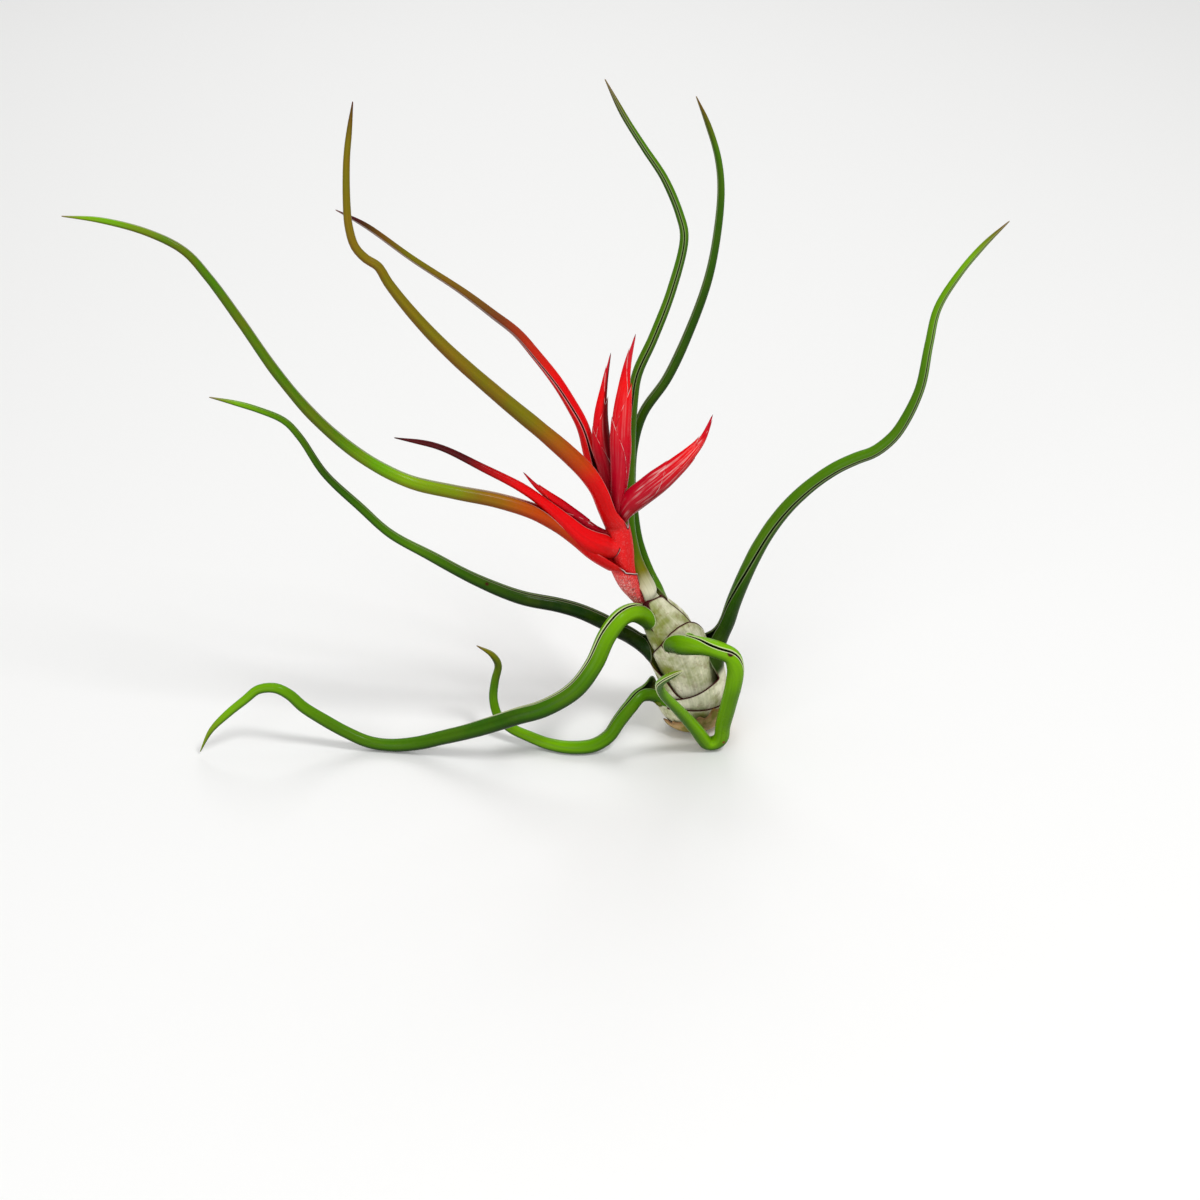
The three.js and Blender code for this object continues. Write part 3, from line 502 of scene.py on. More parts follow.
def layer_radius(layer):
    """The outer radius of a layer of the bulb, as a function of the height."""
    foot = layer_foot(layer)
    start = along(STEM_RADII, foot) + CLEARANCE + 0.65
    outside = layer - LAYERS.index("front_left")

    def above(height):
        return softly(INNER_BULB, height, 1.5) + outside * softly(PITCHES, height, 1)

    def radius(height):
        if height >= BULB_WAIST:
            return above(height)
        drop = min(1, (BULB_WAIST - height) / (BULB_WAIST - foot))
        return start + (above(BULB_WAIST) - start) * math.sqrt(1 - drop * drop)

    return radius


def bulb_spec(name, spec):
    layer = LAYERS.index(name)
    return {"axis": BULB_AXIS, "foot": layer_foot(layer), "radius_at": layer_radius(layer), **spec}


def scape_spec(spec):
    if "axis" not in spec:
        return spec
    return {"radius_at": lambda height: softly(spec["outline"], height, 0.8), **spec}


# ---------------------------------------------------------------- sheets
BLADE_FACETS = 26
SHEATH_ROWS = 30
SHEATH_FACET = 6
CROWN_ROWS = 8
CROWN_OVERLAP = 1.5
CROWN_INSET = 0.1
RIM_BLUR = 4
# how closely a sheath's free sides hug the layer inside it, and over how many degrees
HUG = 0.45
HUG_SPAN = 25
# the rows of a blade: their gap in the collar, the bend that one gap may have, the shortest gap
# as a share of the longest, and how the rows end at the tip
COLLAR_STEP = 0.6
BEND_LIMIT = 9
SHORTEST_STEP = 0.45
LAST_STRETCH = 0.3
TIP_GAP = 0.25
BLADE_BLUR = 0.02
TWIST_BLUR = 0.03
# how unevenly thick a blade has grown, as a share, and over what length
WOBBLE = 0.035
WOBBLE_LENGTH = 7
# how wide the thin edge of a wall is, and its share of the full thickness
THIN_EDGE = 0.9
EDGE_WALL = 0.4
# The reach of a vertex goes from 0 at the foot of the sheath, past this at its rim, to 1 at the
# tip of the blade.
SHEATH_SHARE = 0.2


def grid_rows(bm, columns, rows):
    """A new flat grid, as rows of its vertices from the bottom up, each from left to right."""
    verts = bmesh.ops.create_grid(bm, x_segments=columns, y_segments=rows, size=0.5)["verts"]
    verts.sort(key=lambda v: (round((v.co.y + 0.5) * rows), v.co.x))
    return [verts[i * (columns + 1) : (i + 1) * (columns + 1)] for i in range(rows + 1)]


def column_angles(wrap, base):
    """The angles of a sheath's columns from the midrib, and how many lie left of the blade."""
    left, right = wrap
    count = [math.ceil((span - base) / SHEATH_FACET) for span in wrap]
    angles = [mix(-left, -base, j / count[0]) for j in range(count[0])]
    angles += [mix(-base, base, j / BLADE_FACETS) for j in range(BLADE_FACETS + 1)]
    angles += [mix(base, right, j / count[1]) for j in range(1, count[1] + 1)]
    return angles, count[0]


class Sheet:
    """A leaf or bract in the making: a mesh whose vertices know where on the leaf they are."""

    def __init__(self):
        self.bm = bmesh.new()
        self.probe = None
        layers = self.bm.verts.layers
        self.reach = layers.float.new("reach")
        self.across = layers.float.new("across")
        self.margin = layers.float.new("margin")
        self.lift = layers.float.new("lift")
        self.wall = layers.deform.verify()

    def put(self, vert, place, reach, across, wall=1.0):
        vert.co = place * MM
        vert[self.reach] = reach
        vert[self.across] = across
        vert[self.wall][0] = wall

    def extrude(self, row):
        """A new row of vertices joined to the given one by faces."""
        edges = [self.bm.edges.get(pair) for pair in zip(row, row[1:])]
        made = bmesh.ops.extrude_edge_only(self.bm, edges=edges)["geom"]
        new = {item for item in made if isinstance(item, bmesh.types.BMVert)}
        return [next(e.other_vert(v) for e in v.link_edges if e.other_vert(v) in new) for v in row]

    def turn_faces(self, faces, vert, direction):
        """Turns faces over if they look away from the direction given for one vertex."""
        self.bm.normal_update()
        if vert.normal.dot(direction) < 0:
            bmesh.ops.reverse_faces(self.bm, faces=faces)

    def face_outwards(self):
        """Turns all the faces the same way as the outward direction noted at one vertex."""
        bmesh.ops.recalc_face_normals(self.bm, faces=self.bm.faces)
        self.turn_faces(self.bm.faces, *self.probe)

    def face_patch(self, rows, direction):
        """Turns the faces of a loose patch the same way as a direction at its middle."""
        faces = list({face for row in rows for vert in row for face in vert.link_faces})
        middle = rows[len(rows) // 2]
        self.turn_faces(faces, middle[len(middle) // 2], direction)

    def measure_margin(self, hidden=()):
        """Writes on each vertex how far it is from a free edge, in millimetres, and thins the
        wall towards that edge. Edges between hidden vertices don't count."""
        hidden = set(hidden)
        edges = [e for e in self.bm.edges if e.is_boundary and not set(e.verts) <= hidden]
        tree = KDTree(4 * len(edges))
        for i, edge in enumerate(edges):
            for k in range(4):
                tree.insert(edge.verts[0].co.lerp(edge.verts[1].co, k / 4), 4 * i + k)
        tree.balance()
        for vert in self.bm.verts:
            vert[self.margin] = tree.find(vert.co)[2] / MM
            vert[self.wall][0] *= mix(EDGE_WALL, 1, ease(vert[self.margin] / THIN_EDGE))

    def finish(self, name, wall, materials):
        """The object of the sheet, with its wall laid inwards. Each vertex notes how far its skin
        looks up (1) or down (-1), which the materials use to paint shade beneath and a highlight
        on top."""
        for face in self.bm.faces:
            face.smooth = True
        self.bm.normal_update()
        for vert in self.bm.verts:
            vert[self.lift] = vert.normal.z
        mesh = bpy.data.meshes.new(name)
        self.bm.to_mesh(mesh)
        self.bm.free()
        piece = bpy.data.objects.new(name, mesh)
        bpy.context.collection.objects.link(piece)
        piece.vertex_groups.new(name="wall")
        for material in materials:
            mesh.materials.append(material)
        solidify = piece.modifiers.new("Wall", "SOLIDIFY")
        solidify.thickness = wall
        solidify.offset = -1
        solidify.vertex_group = "wall"
        solidify.material_offset = 1
        return piece


def bend_sheath(sheet, spec, angles, fray=0.0):
    """The sheath: a grid bent round the axis. Returns its rows."""
    axis, radius_at, base = spec["axis"], spec["radius_at"], spec["base"]
    foot, root, azimuth = spec["foot"], spec["root"], spec["azimuth"]
    rows = grid_rows(sheet.bm, len(angles) - 1, SHEATH_ROWS)
    for i, row in enumerate(rows):
        share = i / SHEATH_ROWS
        level = foot + (root - foot) * (1 - math.cos(math.pi / 2 * share))
        for vert, angle in zip(row, angles):
            under_crown = spec.get("crown") and abs(angle) <= base
            rim = 0 if under_crown else softly(spec["rim"], angle, RIM_BLUR)
            tear = fray * noise.noise(Vector((angle / 9, 3.1, 0.4))) if fray else 0
            height = level + share * share * (rim + tear)
            centre, rise = axis.at_height(height)
            out = outward(rise, azimuth + angle)
            hug = HUG * share**3 * ease((abs(angle) - base) / HUG_SPAN)
            place = centre + out * (radius_at(height) - hug)
            sheet.put(vert, place, SHEATH_SHARE * share, angle / base)
            if i == SHEATH_ROWS // 2:
                sheet.probe = vert, out
    return rows


def raise_crown(sheet, spec):
    """The part of a sheath that stands up behind the root of its blade. Returns its hidden
    edges, which lie under the rest of the sheath."""
    axis, root, azimuth = spec["axis"], spec["root"], spec["azimuth"]
    half = spec["base"] + SHEATH_FACET
    columns = 2 * math.ceil(half / SHEATH_FACET)
    rows = grid_rows(sheet.bm, columns, CROWN_ROWS)
    for i, row in enumerate(rows):
        for j, vert in enumerate(row):
            angle = mix(-half, half, j / columns)
            rim = softly(spec["rim"], angle, RIM_BLUR)
            height = root + mix(-CROWN_OVERLAP, rim, i / CROWN_ROWS)
            centre, rise = axis.at_height(height)
            out = outward(rise, azimuth + angle)
            place = centre + out * (spec["radius_at"](height) - CROWN_INSET)
            sheet.put(vert, place, SHEATH_SHARE - 0.02, angle / spec["base"])
    sheet.face_patch(rows, outward(axis.at_height(root)[1], azimuth))
    return rows[0] + [row[k] for row in rows for k in (0, -1)]


def blade_path(spec):
    """The middle line of a blade, which starts in its sheath where it has one."""
    if "axis" not in spec:
        return Path(spec["route"])
    start = []
    for height in (spec["root"] - 3, spec["root"]):
        centre, rise = spec["axis"].at_height(height)
        out = outward(rise, spec["azimuth"])
        start.append(centre + out * (spec["radius_at"](height) - spec["radii"][0][1]))
    points = start + list(spec["route"])
    return Path(points, start=1 / (len(points) - 1))


def blade_reaches(path, collar, step):
    """How far along a blade its rows lie: close together in the collar and in tight bends."""
    reaches, reach = [], 0.0
    while reach < path.length - LAST_STRETCH:
        ahead = path.heading(min(1, (reach + step) / path.length))
        bend = max(path.heading(reach / path.length).angle(ahead), 0.01)
        spacing = step * clamp(math.radians(BEND_LIMIT) / bend, SHORTEST_STEP, 1)
        reach += COLLAR_STEP if reach < collar else spacing
        reaches.append(min(reach, path.length - TIP_GAP))
    return reaches


def roll_blade(sheet, spec, row, sizes):
    """Extrudes the blade from a row of the sheet, rolling it as it goes, up to its tip."""
    path = blade_path(spec)
    radii, roll = spec["radii"], spec.get("roll", [(0, BLADE_ROLL)])
    twist, collar = spec.get("twist", [(0, 0)]), spec.get("collar", 8)
    wall = sizes.blade_wall / MM
    reaches = blade_reaches(path, collar, sizes.fine_step / MM)
    if "axis" in spec:
        start_rise = spec["axis"].at_height(spec["root"])[1]
        inward = -outward(start_rise, spec["azimuth"])
        rim_radius = spec["radius_at"](spec["root"])
        start_curl, start_width = 1 / rim_radius, rim_radius * math.radians(spec["base"])
    else:
        start_rise, inward = path.heading(0), Vector(spec["inward"])
        start_curl, start_width = 1 / radii[0][1], radii[0][1] * math.radians(roll[0][1])
        reaches.insert(0, 0.0)
    seed = spec.get("root", 5)
    for reach in reaches:
        share = reach / path.length
        rise = start_rise.lerp(path.heading(share), ease(2 * reach / collar)).normalized()
        inward = (inward - rise * inward.dot(rise)).normalized()
        turned = Quaternion(rise, math.radians(softly(twist, share, TWIST_BLUR))) @ inward
        side = turned.cross(rise)
        thin = softly(radii, share, min(BLADE_BLUR, 1 - share))
        thin *= 1 + WOBBLE * noise.noise(Vector((reach / WOBBLE_LENGTH, seed, 0)))
        into = ease(reach / collar)
        radius = 1 / mix(start_curl, 1 / thin, into)
        width = mix(start_width, thin * math.radians(softly(roll, share, BLADE_BLUR)), into)
        half = min(width / radius, math.radians(ROLL_LIMIT))
        middle = path.at(share) + turned * (radius - thin)
        if reach:
            row = sheet.extrude(row)
        thickness = min(1, 0.8 * thin / wall)
        for j, vert in enumerate(row):
            across = 2 * j / BLADE_FACETS - 1
            spoke = side * math.sin(half * across) - turned * math.cos(half * across)
            place = middle + spoke * radius
            sheet.put(vert, place, mix(SHEATH_SHARE, 1, share), across, thickness)
            if not reach and across == 0:
                sheet.probe = vert, spoke
    tip = sheet.extrude(row)
    for vert in tip:
        sheet.put(vert, path.at(1), 1, 0, 0.2)
    bmesh.ops.pointmerge(sheet.bm, verts=tip, merge_co=tip[0].co)


def start_row(sheet):
    """A row of vertices joined by edges alone, for a blade that starts without a sheath."""
    verts = grid_rows(sheet.bm, BLADE_FACETS, 1)
    bmesh.ops.delete(sheet.bm, geom=verts[1], context="VERTS")
    return verts[0]


def make_leaf(name, spec, sizes, materials):
    """A leaf or leafy bract, in the place of the CAD node of the same name."""
    sheet = Sheet()
    hidden = []
    if "axis" in spec:
        angles, first = column_angles(spec["wrap"], spec["base"])
        rows = bend_sheath(sheet, spec, angles)
        last = first + BLADE_FACETS
        hidden = list(rows[0])
        row = rows[-1][first : last + 1]
    else:
        row = start_row(sheet)
    roll_blade(sheet, spec, row, sizes)
    sheet.face_outwards()
    if spec.get("crown"):
        hidden += [rows[-1][k] for k in (first - 1, first, last, last + 1)]
        hidden += raise_crown(sheet, spec)
    sheet.measure_margin(hidden)
    settle(sheet.finish(f"{name}_fine", sizes.blade_wall, materials), name)


def settle(piece, node):
    """Lets a piece ride in the place of its CAD node."""
    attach(piece, BODY)
    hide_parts(node)


# ---------------------------------------------------------------- materials
def solid(tone):
    """An opaque colour, from one with or without its alpha."""
    return (*tone[:3], 1.0)


def dim(tone, share):
    return [share * part for part in tone]


class Wiring:
    """Short ways to add nodes to a material or a node group and to join them."""

    def __init__(self, tree):
        self.tree = tree

    def add(self, kind, settings=None, **inputs):
        node = self.tree.nodes.new(f"ShaderNode{kind}")
        for key, value in (settings or {}).items():
            setattr(node, key, value)
        self.join(node, **inputs)
        return node

    def join(self, node, **inputs):
        """Feeds the inputs of a node, whose names have _ for a space here."""
        for key, value in inputs.items():
            self.feed(node.inputs[key.replace("_", " ")], value)

    def feed(self, socket, value):
        if isinstance(value, NodeSocket):
            self.tree.links.new(value, socket)
        else:
            socket.default_value = solid(value) if socket.type == "RGBA" else value

    def math(self, operation, a, b):
        node = self.add("Math", {"operation": operation})
        self.feed(node.inputs[0], a)
        self.feed(node.inputs[1], b)
        return node.outputs[0]

    def times(self, a, b):
        return self.math("MULTIPLY", a, b)

    def plus(self, a, b):
        return self.math("ADD", a, b)

    def step(self, value, low, high, to_low=0.0, to_high=1.0):
        """A smooth change of the result while value goes from low to high."""
        node = self.add("MapRange", {"interpolation_type": "SMOOTHSTEP"}, Value=value)
        self.join(node, From_Min=low, From_Max=high, To_Min=to_low, To_Max=to_high)
        return node.outputs[0]

    def blend(self, factor, a, b, mode="MIX"):
        node = self.add("Mix", {"data_type": "RGBA", "blend_type": mode})
        sockets = {socket.identifier: socket for socket in node.inputs}
        for key, value in (("Factor_Float", factor), ("A_Color", a), ("B_Color", b)):
            self.feed(sockets[key], value)
        return next(s for s in node.outputs if s.identifier == "Result_Color")

    def tint(self, factor, tone, glass):
        """A colour seen as through coloured glass, where factor is 1."""
        return self.blend(factor, tone, self.blend(1.0, tone, glass, "MULTIPLY"))

    def attribute(self, name):
        return self.add("Attribute", {"attribute_name": name}).outputs["Fac"]

    def position(self):
        return self.add("TexCoord").outputs["Object"]

    def lengthwise(self, across, along, seed=0.0):
        """A place on the skin whose noise is drawn out along the leaf."""
        x = self.times(self.attribute("across"), across)
        y = self.times(self.attribute("reach"), along)
        return self.add("CombineXYZ", X=x, Y=y, Z=seed).outputs[0]

    def noise(self, vector, scale, detail=2.0, rough=0.5):
        node = self.add("TexNoise", Vector=vector, Scale=scale, Detail=detail, Roughness=rough)
        return node.outputs["Fac"]

    def ramp(self, value, stops):
        node = self.add("ValToRGB", Fac=value)
        elements = node.color_ramp.elements
        elements.remove(elements[-1])
        for i, (position, tone) in enumerate(stops):
            stop = elements.new(position) if i else elements[0]
            stop.position, stop.color = position, solid(tone)
        return node.outputs["Color"]


SKIN_GROUP = "Leaf skin"
SKIN_DEPTH = 0.0002
# painted highlight: how a blade's colour is multiplied where it looks straight up
PAINTED_TOP_HIGHLIGHT = (1.2, 1.25, 1.1)
# names of the colours of a leaf's and a bract's outside, how they differ in grain, and the painted
# shade on their undersides
LEAF_LOOK = dict(
    ground="cream", mottle="mottle", stain="brown", lip="pale", rim="maroon", grain=520.0,
    under=(0.2, 0.25, 0.15),
)
BRACT_LOOK = dict(
    ground="red", mottle="rose", stain="maroon", lip="scurf", rim="scurf", grain=1100.0,
    under=(0.65, 0.4, 0.4),
)


def new_group(name, inputs, outputs):
    """A node group with the named sockets. Returns its wiring, the sockets that hold what it is
    given, and the node that takes its results."""
    tree = bpy.data.node_groups.new(name, "ShaderNodeTree")
    for direction, sockets in (("INPUT", inputs), ("OUTPUT", outputs)):
        for key, kind in sockets.items():
            kind = f"NodeSocket{kind}"
            tree.interface.new_socket(name=key, in_out=direction, socket_type=kind)
    source = tree.nodes.new("NodeGroupInput")
    sink = tree.nodes.new("NodeGroupOutput")
    return Wiring(tree), source.outputs, sink


def skin_group():
    """Lengthwise veins with painted shade in their furrows, soft mottling and whitish scales of a
    leaf's skin, made once.
    """
    if SKIN_GROUP in bpy.data.node_groups:
        return bpy.data.node_groups[SKIN_GROUP]
    inputs = {
        "Colour": "Color", "Mottle colour": "Color", "Scale colour": "Color", "Mottle": "Float",
        "Vein": "Float", "Scales": "Float", "Roughness": "Float", "Seed": "Float",
    }
    outputs = {"Colour": "Color", "Roughness": "Float", "Height": "Float"}
    wires, given, sink = new_group(SKIN_GROUP, inputs, outputs)
    place = wires.position()
    vein = wires.noise(wires.lengthwise(9.0, 5.0, given["Seed"]), 1.0, 3.0, 0.6)
    cloud = wires.noise(place, 95.0, 4.0, 0.6)
    patch = wires.times(wires.step(cloud, 0.34, 0.66), given["Mottle"])
    body = wires.blend(patch, given["Colour"], given["Mottle colour"])
    # painted shade: the skin is darker along the furrows of the veins
    furrow_shade = wires.times(wires.step(vein, 0.35, 0.68), given["Vein"])
    body = wires.tint(furrow_shade, body, (0.62, 0.66, 0.6))
    spots = wires.step(wires.noise(place, 2600.0, 2.0, 0.7), 0.52, 0.66)
    frost = wires.times(wires.plus(wires.times(spots, 0.8), 0.2), given["Scales"])
    rough = wires.plus(given["Roughness"], wires.times(frost, 0.35))
    wires.join(
        sink,
        Colour=wires.blend(frost, body, given["Scale colour"]),
        Roughness=wires.plus(rough, wires.times(wires.math("SUBTRACT", cloud, 0.5), 0.18)),
        Height=wires.plus(wires.times(vein, 0.7), wires.times(spots, 0.25)),
    )
    return wires.tree


def new_material(name):
    """A material with its Principled shader. Returns it with its wiring and the shader."""
    material = bpy.data.materials.new(name)
    material.use_nodes = True
    material.node_tree.nodes.clear()
    wires = Wiring(material.node_tree)
    shader = wires.add("BsdfPrincipled")
    wires.add("OutputMaterial", Surface=shader.outputs[0])
    return material, wires, shader


def finish_material(wires, shader, height, strength, **inputs):
    """Feeds the shader's inputs and gives it a relief."""
    bump = wires.add("Bump", Height=height, Strength=strength, Distance=SKIN_DEPTH)
    wires.join(shader, Normal=bump.outputs[0], **inputs)


def leaf_material(name, spec, colours, look, seed, stained=0.3, lip=0.15, scales=None):
    """The outside of a leaf or bract, coloured from its sheath to its tip."""
    keys = ("ground", "mottle", "stain", "lip", "rim")
    tones = {key: getattr(colours, look[key]) for key in keys}
    bract = look is BRACT_LOOK
    material, wires, shader = new_material(name)
    reach, margin, lift = (wires.attribute(key) for key in ("reach", "margin", "lift"))
    place = wires.position()

    wander = wires.times(wires.math("SUBTRACT", wires.noise(place, 90.0, 2.0), 0.5), 0.035)
    stops = [(0.0, tones["ground"]), (SHEATH_SHARE - 0.002, tones["ground"])]
    for share, tint in spec["tints"]:
        start = mix(SHEATH_SHARE, 1, share) if share else SHEATH_SHARE + 0.008
        stops.append((start, getattr(colours, tint)))
    on_sheath = wires.step(reach, SHEATH_SHARE - 0.01, SHEATH_SHARE + 0.012, 1.0, 0.0)
    on_blade = wires.math("SUBTRACT", 1.0, on_sheath)
    frost = 0.004
    if scales:
        worn = wires.step(wires.attribute("across"), 0.6, 1.6, 1.0, 0.3)
        frost = wires.times(wires.ramp(reach, [(p, (v, v, v)) for p, v in scales]), worn)
    skin = wires.add(
        "Group",
        {"node_tree": skin_group()},
        Colour=wires.ramp(wires.plus(reach, wander), stops),
        Mottle_colour=tones["mottle"],
        Scale_colour=colours.scurf,
        Mottle=0.12 if bract else wires.plus(wires.times(on_sheath, 0.85), 0.1),
        # how strongly shade is painted into the vein furrows
        Vein=0.45,
        Scales=frost,
        Roughness=wires.plus(wires.times(on_sheath, 0.2), 0.27),
        Seed=seed,
    ).outputs

    stain = wires.step(wires.noise(place, look["grain"], 3.0, 0.7), 0.52, 0.68, 0.0, stained)
    tone = wires.blend(wires.times(stain, on_sheath), skin["Colour"], tones["stain"])
    # painted shade: a blade darkens where its skin faces down
    tone = wires.tint(wires.times(wires.step(lift, 0.3, -0.6), on_blade), tone, look["under"])
    # painted highlight: a blade lightens where its skin faces up
    tone = wires.tint(wires.times(wires.step(lift, 0.5, 1.0), on_blade), tone, PAINTED_TOP_HIGHLIGHT)
    for spot, size, paint in spec.get("marks", ()):
        gap = wires.add("VectorMath", {"operation": "DISTANCE"})
        wires.feed(gap.inputs[0], place)
        wires.feed(gap.inputs[1], Vector(spot) * MM)
        inside = wires.step(gap.outputs["Value"], 0.5 * size * MM, size * MM, 1.0, 0.0)
        tone = wires.blend(inside, tone, getattr(colours, paint))

    below_rim = wires.step(reach, SHEATH_SHARE + 0.002, SHEATH_SHARE + 0.02, 1.0, 0.0)
    rim_tone = wires.blend(below_rim, wires.blend(lip, tone, tones["lip"]), tones["rim"])
    if bract:
        beyond = wires.step(reach, SHEATH_SHARE + 0.035, SHEATH_SHARE + 0.065)
        shown = wires.math("MAXIMUM", below_rim, beyond)
        rim = wires.times(wires.step(margin, 0.06, 0.2, 0.7, 0.0), shown)
        inset = wires.times(wires.step(margin, 0.25, 0.7, 1.0, 0.0), below_rim)
        tone = wires.blend(inset, tone, colours.maroon)
    else:
        rim_end = wires.plus(wires.times(below_rim, 0.3), 0.25)
        rim = wires.step(margin, 0.15, rim_end, 1.0, 0.0)
    finish_material(
        wires,
        shader,
        skin["Height"],
        0.35,
        Base_Color=wires.blend(rim, tone, rim_tone),
        Roughness=skin["Roughness"],
        Specular_IOR_Level=0.05,
        Coat_Roughness=0.15,
        Coat_Weight=wires.times(on_blade, 0.05),
    )
    return material


def inner_material(name, tone, base):
    """The inner face of a leaf, which shows in its groove and, in another tone, in its sheath."""
    material, wires, shader = new_material(name)
    reach, margin = wires.attribute("reach"), wires.attribute("margin")
    streak = wires.noise(wires.lengthwise(6.0, 20.0), 1.0, 3.0)
    # painted shade: the inside darkens almost to black away from the free edges, deep in the
    # rolled groove
    shade = wires.blend(wires.step(margin, 0.3, 2.2), tone, dim(tone, 0.12))
    shade = wires.blend(wires.times(streak, 0.3), shade, dim(tone, 0.5))
    in_sheath = wires.step(reach, SHEATH_SHARE, SHEATH_SHARE + 0.03, 1.0, 0.0)
    shade = wires.blend(in_sheath, shade, base)
    finish_material(
        wires, shader, streak, 0.2, Base_Color=shade, Roughness=0.5, Specular_IOR_Level=0.2
    )
    return material


def spike_material(name, colours, seed, pallor, painted_flank_shade):
    """Floral bracts: crimson with whitish lengthwise streaks and thin pale margins, with painted
    shade on their undersides. The last argument darkens the right flank to maroon, a painted
    shadow between the spikes."""
    material, wires, shader = new_material(name)
    reach, margin, across, lift = map(wires.attribute, ("reach", "margin", "across", "lift"))
    place = wires.position()
    stops = [(0.0, "rose"), (0.4, "rose"), (0.75, "red"), (0.97, "rose"), (1.0, "maroon")]
    tone = wires.ramp(reach, [(share, getattr(colours, tint)) for share, tint in stops])
    lines = wires.lengthwise(5.0, 2.5, seed)
    streak = wires.step(wires.noise(lines, 1.0, 4.0, 0.65), 0.48, 0.72)
    patch = wires.step(wires.noise(place, 120.0, 2.0), 0.42, 0.6)
    white = wires.times(wires.times(streak, patch), pallor)
    tone = wires.blend(white, tone, colours.scurf)
    # painted shadow: the right flank darkens to maroon as far as asked
    flank = wires.times(wires.step(across, -0.1, 0.6), wires.step(reach, 0.15, 0.4))
    tone = wires.blend(wires.times(flank, painted_flank_shade), tone, colours.maroon)
    # painted shade: a spike darkens where its skin faces down
    tone = wires.tint(wires.step(lift, 0.1, -0.8), tone, (0.4, 0.3, 0.32))
    broken = wires.step(wires.noise(place, 420.0, 3.0), 0.45, 0.6)
    rim = wires.times(wires.step(margin, 0.04, 0.16, 0.6, 0.0), broken)
    finish_material(
        wires,
        shader,
        wires.noise(lines, 2.0, 4.0),
        0.3,
        Base_Color=wires.blend(rim, tone, colours.scurf),
        Roughness=wires.plus(0.27, wires.times(white, 0.3)),
        Specular_IOR_Level=0.08,
        Coat_Weight=0.06,
        Coat_Roughness=0.2,
    )
    return material


def dry_material(colours):
    """Papery dead sheath: olive to tan with lengthwise fibres."""
    material, wires, shader = new_material("dry_paper")
    cloud = wires.noise(wires.position(), 170.0, 4.0, 0.6)
    fibre = wires.noise(wires.lengthwise(16.0, 6.0), 1.0, 4.0, 0.7)
    edge = wires.step(wires.attribute("margin"), 0.2, 1.2, 0.6, 0.0)
    tone = wires.blend(wires.step(cloud, 0.4, 0.6), colours.olive, colours.tan)
    tone = wires.blend(wires.step(fibre, 0.5, 0.75, 0.0, 0.5), tone, colours.brown)
    tone = wires.blend(edge, tone, colours.brown)
    finish_material(wires, shader, fibre, 0.6, Base_Color=tone, Roughness=0.72)
    return material


def bark_material(colours):
    """Rough woody stem."""
    material, wires, shader = new_material("stem_bark")
    drawn_out = wires.add("Mapping", Vector=wires.position(), Scale=(1.0, 1.0, 0.3)).outputs[0]
    ridges = wires.noise(drawn_out, 900.0, 5.0, 0.65)
    stops = [(0.3, dim(colours.bark, 0.4)), (0.6, colours.bark), (0.8, colours.tan)]
    tone = wires.ramp(ridges, stops)
    finish_material(wires, shader, ridges, 0.8, Base_Color=tone, Roughness=0.85)
    return material


def floor_material(colours):
    material, wires, shader = new_material("studio_floor")
    tooth = wires.times(wires.noise(wires.position(), 900.0, 3.0), 0.02)
    tone = wires.blend(tooth, colours.floor, (0.8, 0.8, 0.8))
    wires.join(shader, Base_Color=tone, Roughness=0.6)
    return material


# ---------------------------------------------------------------- flower spikes
CORE_SIDES = 24
CORE_ROWS = 40
BOAT_COLUMNS = 18
BOAT_ROWS = 26
SPIKE_BLUR = 0.04
# the core's width as a share of the spike's, and how far round it a floral bract is folded and
# how much of the spike's length it covers
CORE_SHARE = 0.86
BOAT_COVER = 150
BOAT_REACH = 0.55


def spike_frame(path, share, broad):
    rise = path.heading(share)
    wide = (broad - rise * broad.dot(rise)).normalized()
    return path.at(share), wide, rise.cross(wide)


def spike_core(sheet, path, broad, half):
    """The flattened body of a spike, extruded ring by ring from a circle."""
    circle = bmesh.ops.create_circle(sheet.bm, cap_ends=False, radius=MM, segments=CORE_SIDES)
    ring = circle["verts"]
    ring.append(ring[0])
    for i in range(CORE_ROWS + 1):
        share = i / CORE_ROWS
        centre, wide, deep = spike_frame(path, share, broad)
        size = softly(half, share, SPIKE_BLUR) * CORE_SHARE
        if i:
            ring = sheet.extrude(ring)
        for j, vert in enumerate(ring[:-1]):
            angle = 2 * math.pi * j / CORE_SIDES
            spoke = wide * size * math.cos(angle) + deep * (0.55 * size + 0.05) * math.sin(angle)
            sheet.put(vert, centre + spoke, share, math.cos(angle), 0.3)
        ring = ring[:-1] + [ring[0]]
        if i == CORE_ROWS // 2:
            sheet.probe = ring[0], wide
    bmesh.ops.pointmerge(sheet.bm, verts=ring[:-1], merge_co=path.at(1) * MM)
    sheet.face_outwards()


def spike_bract(sheet, path, broad, half, start, hand, layer):
    """One boat-shaped floral bract, folded round the edge of the spike."""
    rows = grid_rows(sheet.bm, BOAT_COLUMNS, BOAT_ROWS)
    for i, row in enumerate(rows):
        t = i / BOAT_ROWS
        share = start + BOAT_REACH * t
        centre, wide, deep = spike_frame(path, share, broad)
        cover = math.radians(BOAT_COVER) * (1 - t**3) ** 0.7
        size = softly(half, share, SPIKE_BLUR) * (0.93 + 0.035 * layer)
        for j, vert in enumerate(row):
            angle = cover * (2 * j / BOAT_COLUMNS - 1)
            keel = 0.15 * max(0, math.cos(angle)) ** 8
            spoke = wide * hand * (size * math.cos(angle) + keel)
            spoke += deep * (0.6 * size + 0.15) * math.sin(angle)
            sheet.put(vert, centre + spoke, share, hand * math.cos(angle), mix(1, 0.4, t))
    sheet.face_patch(rows, wide * hand)


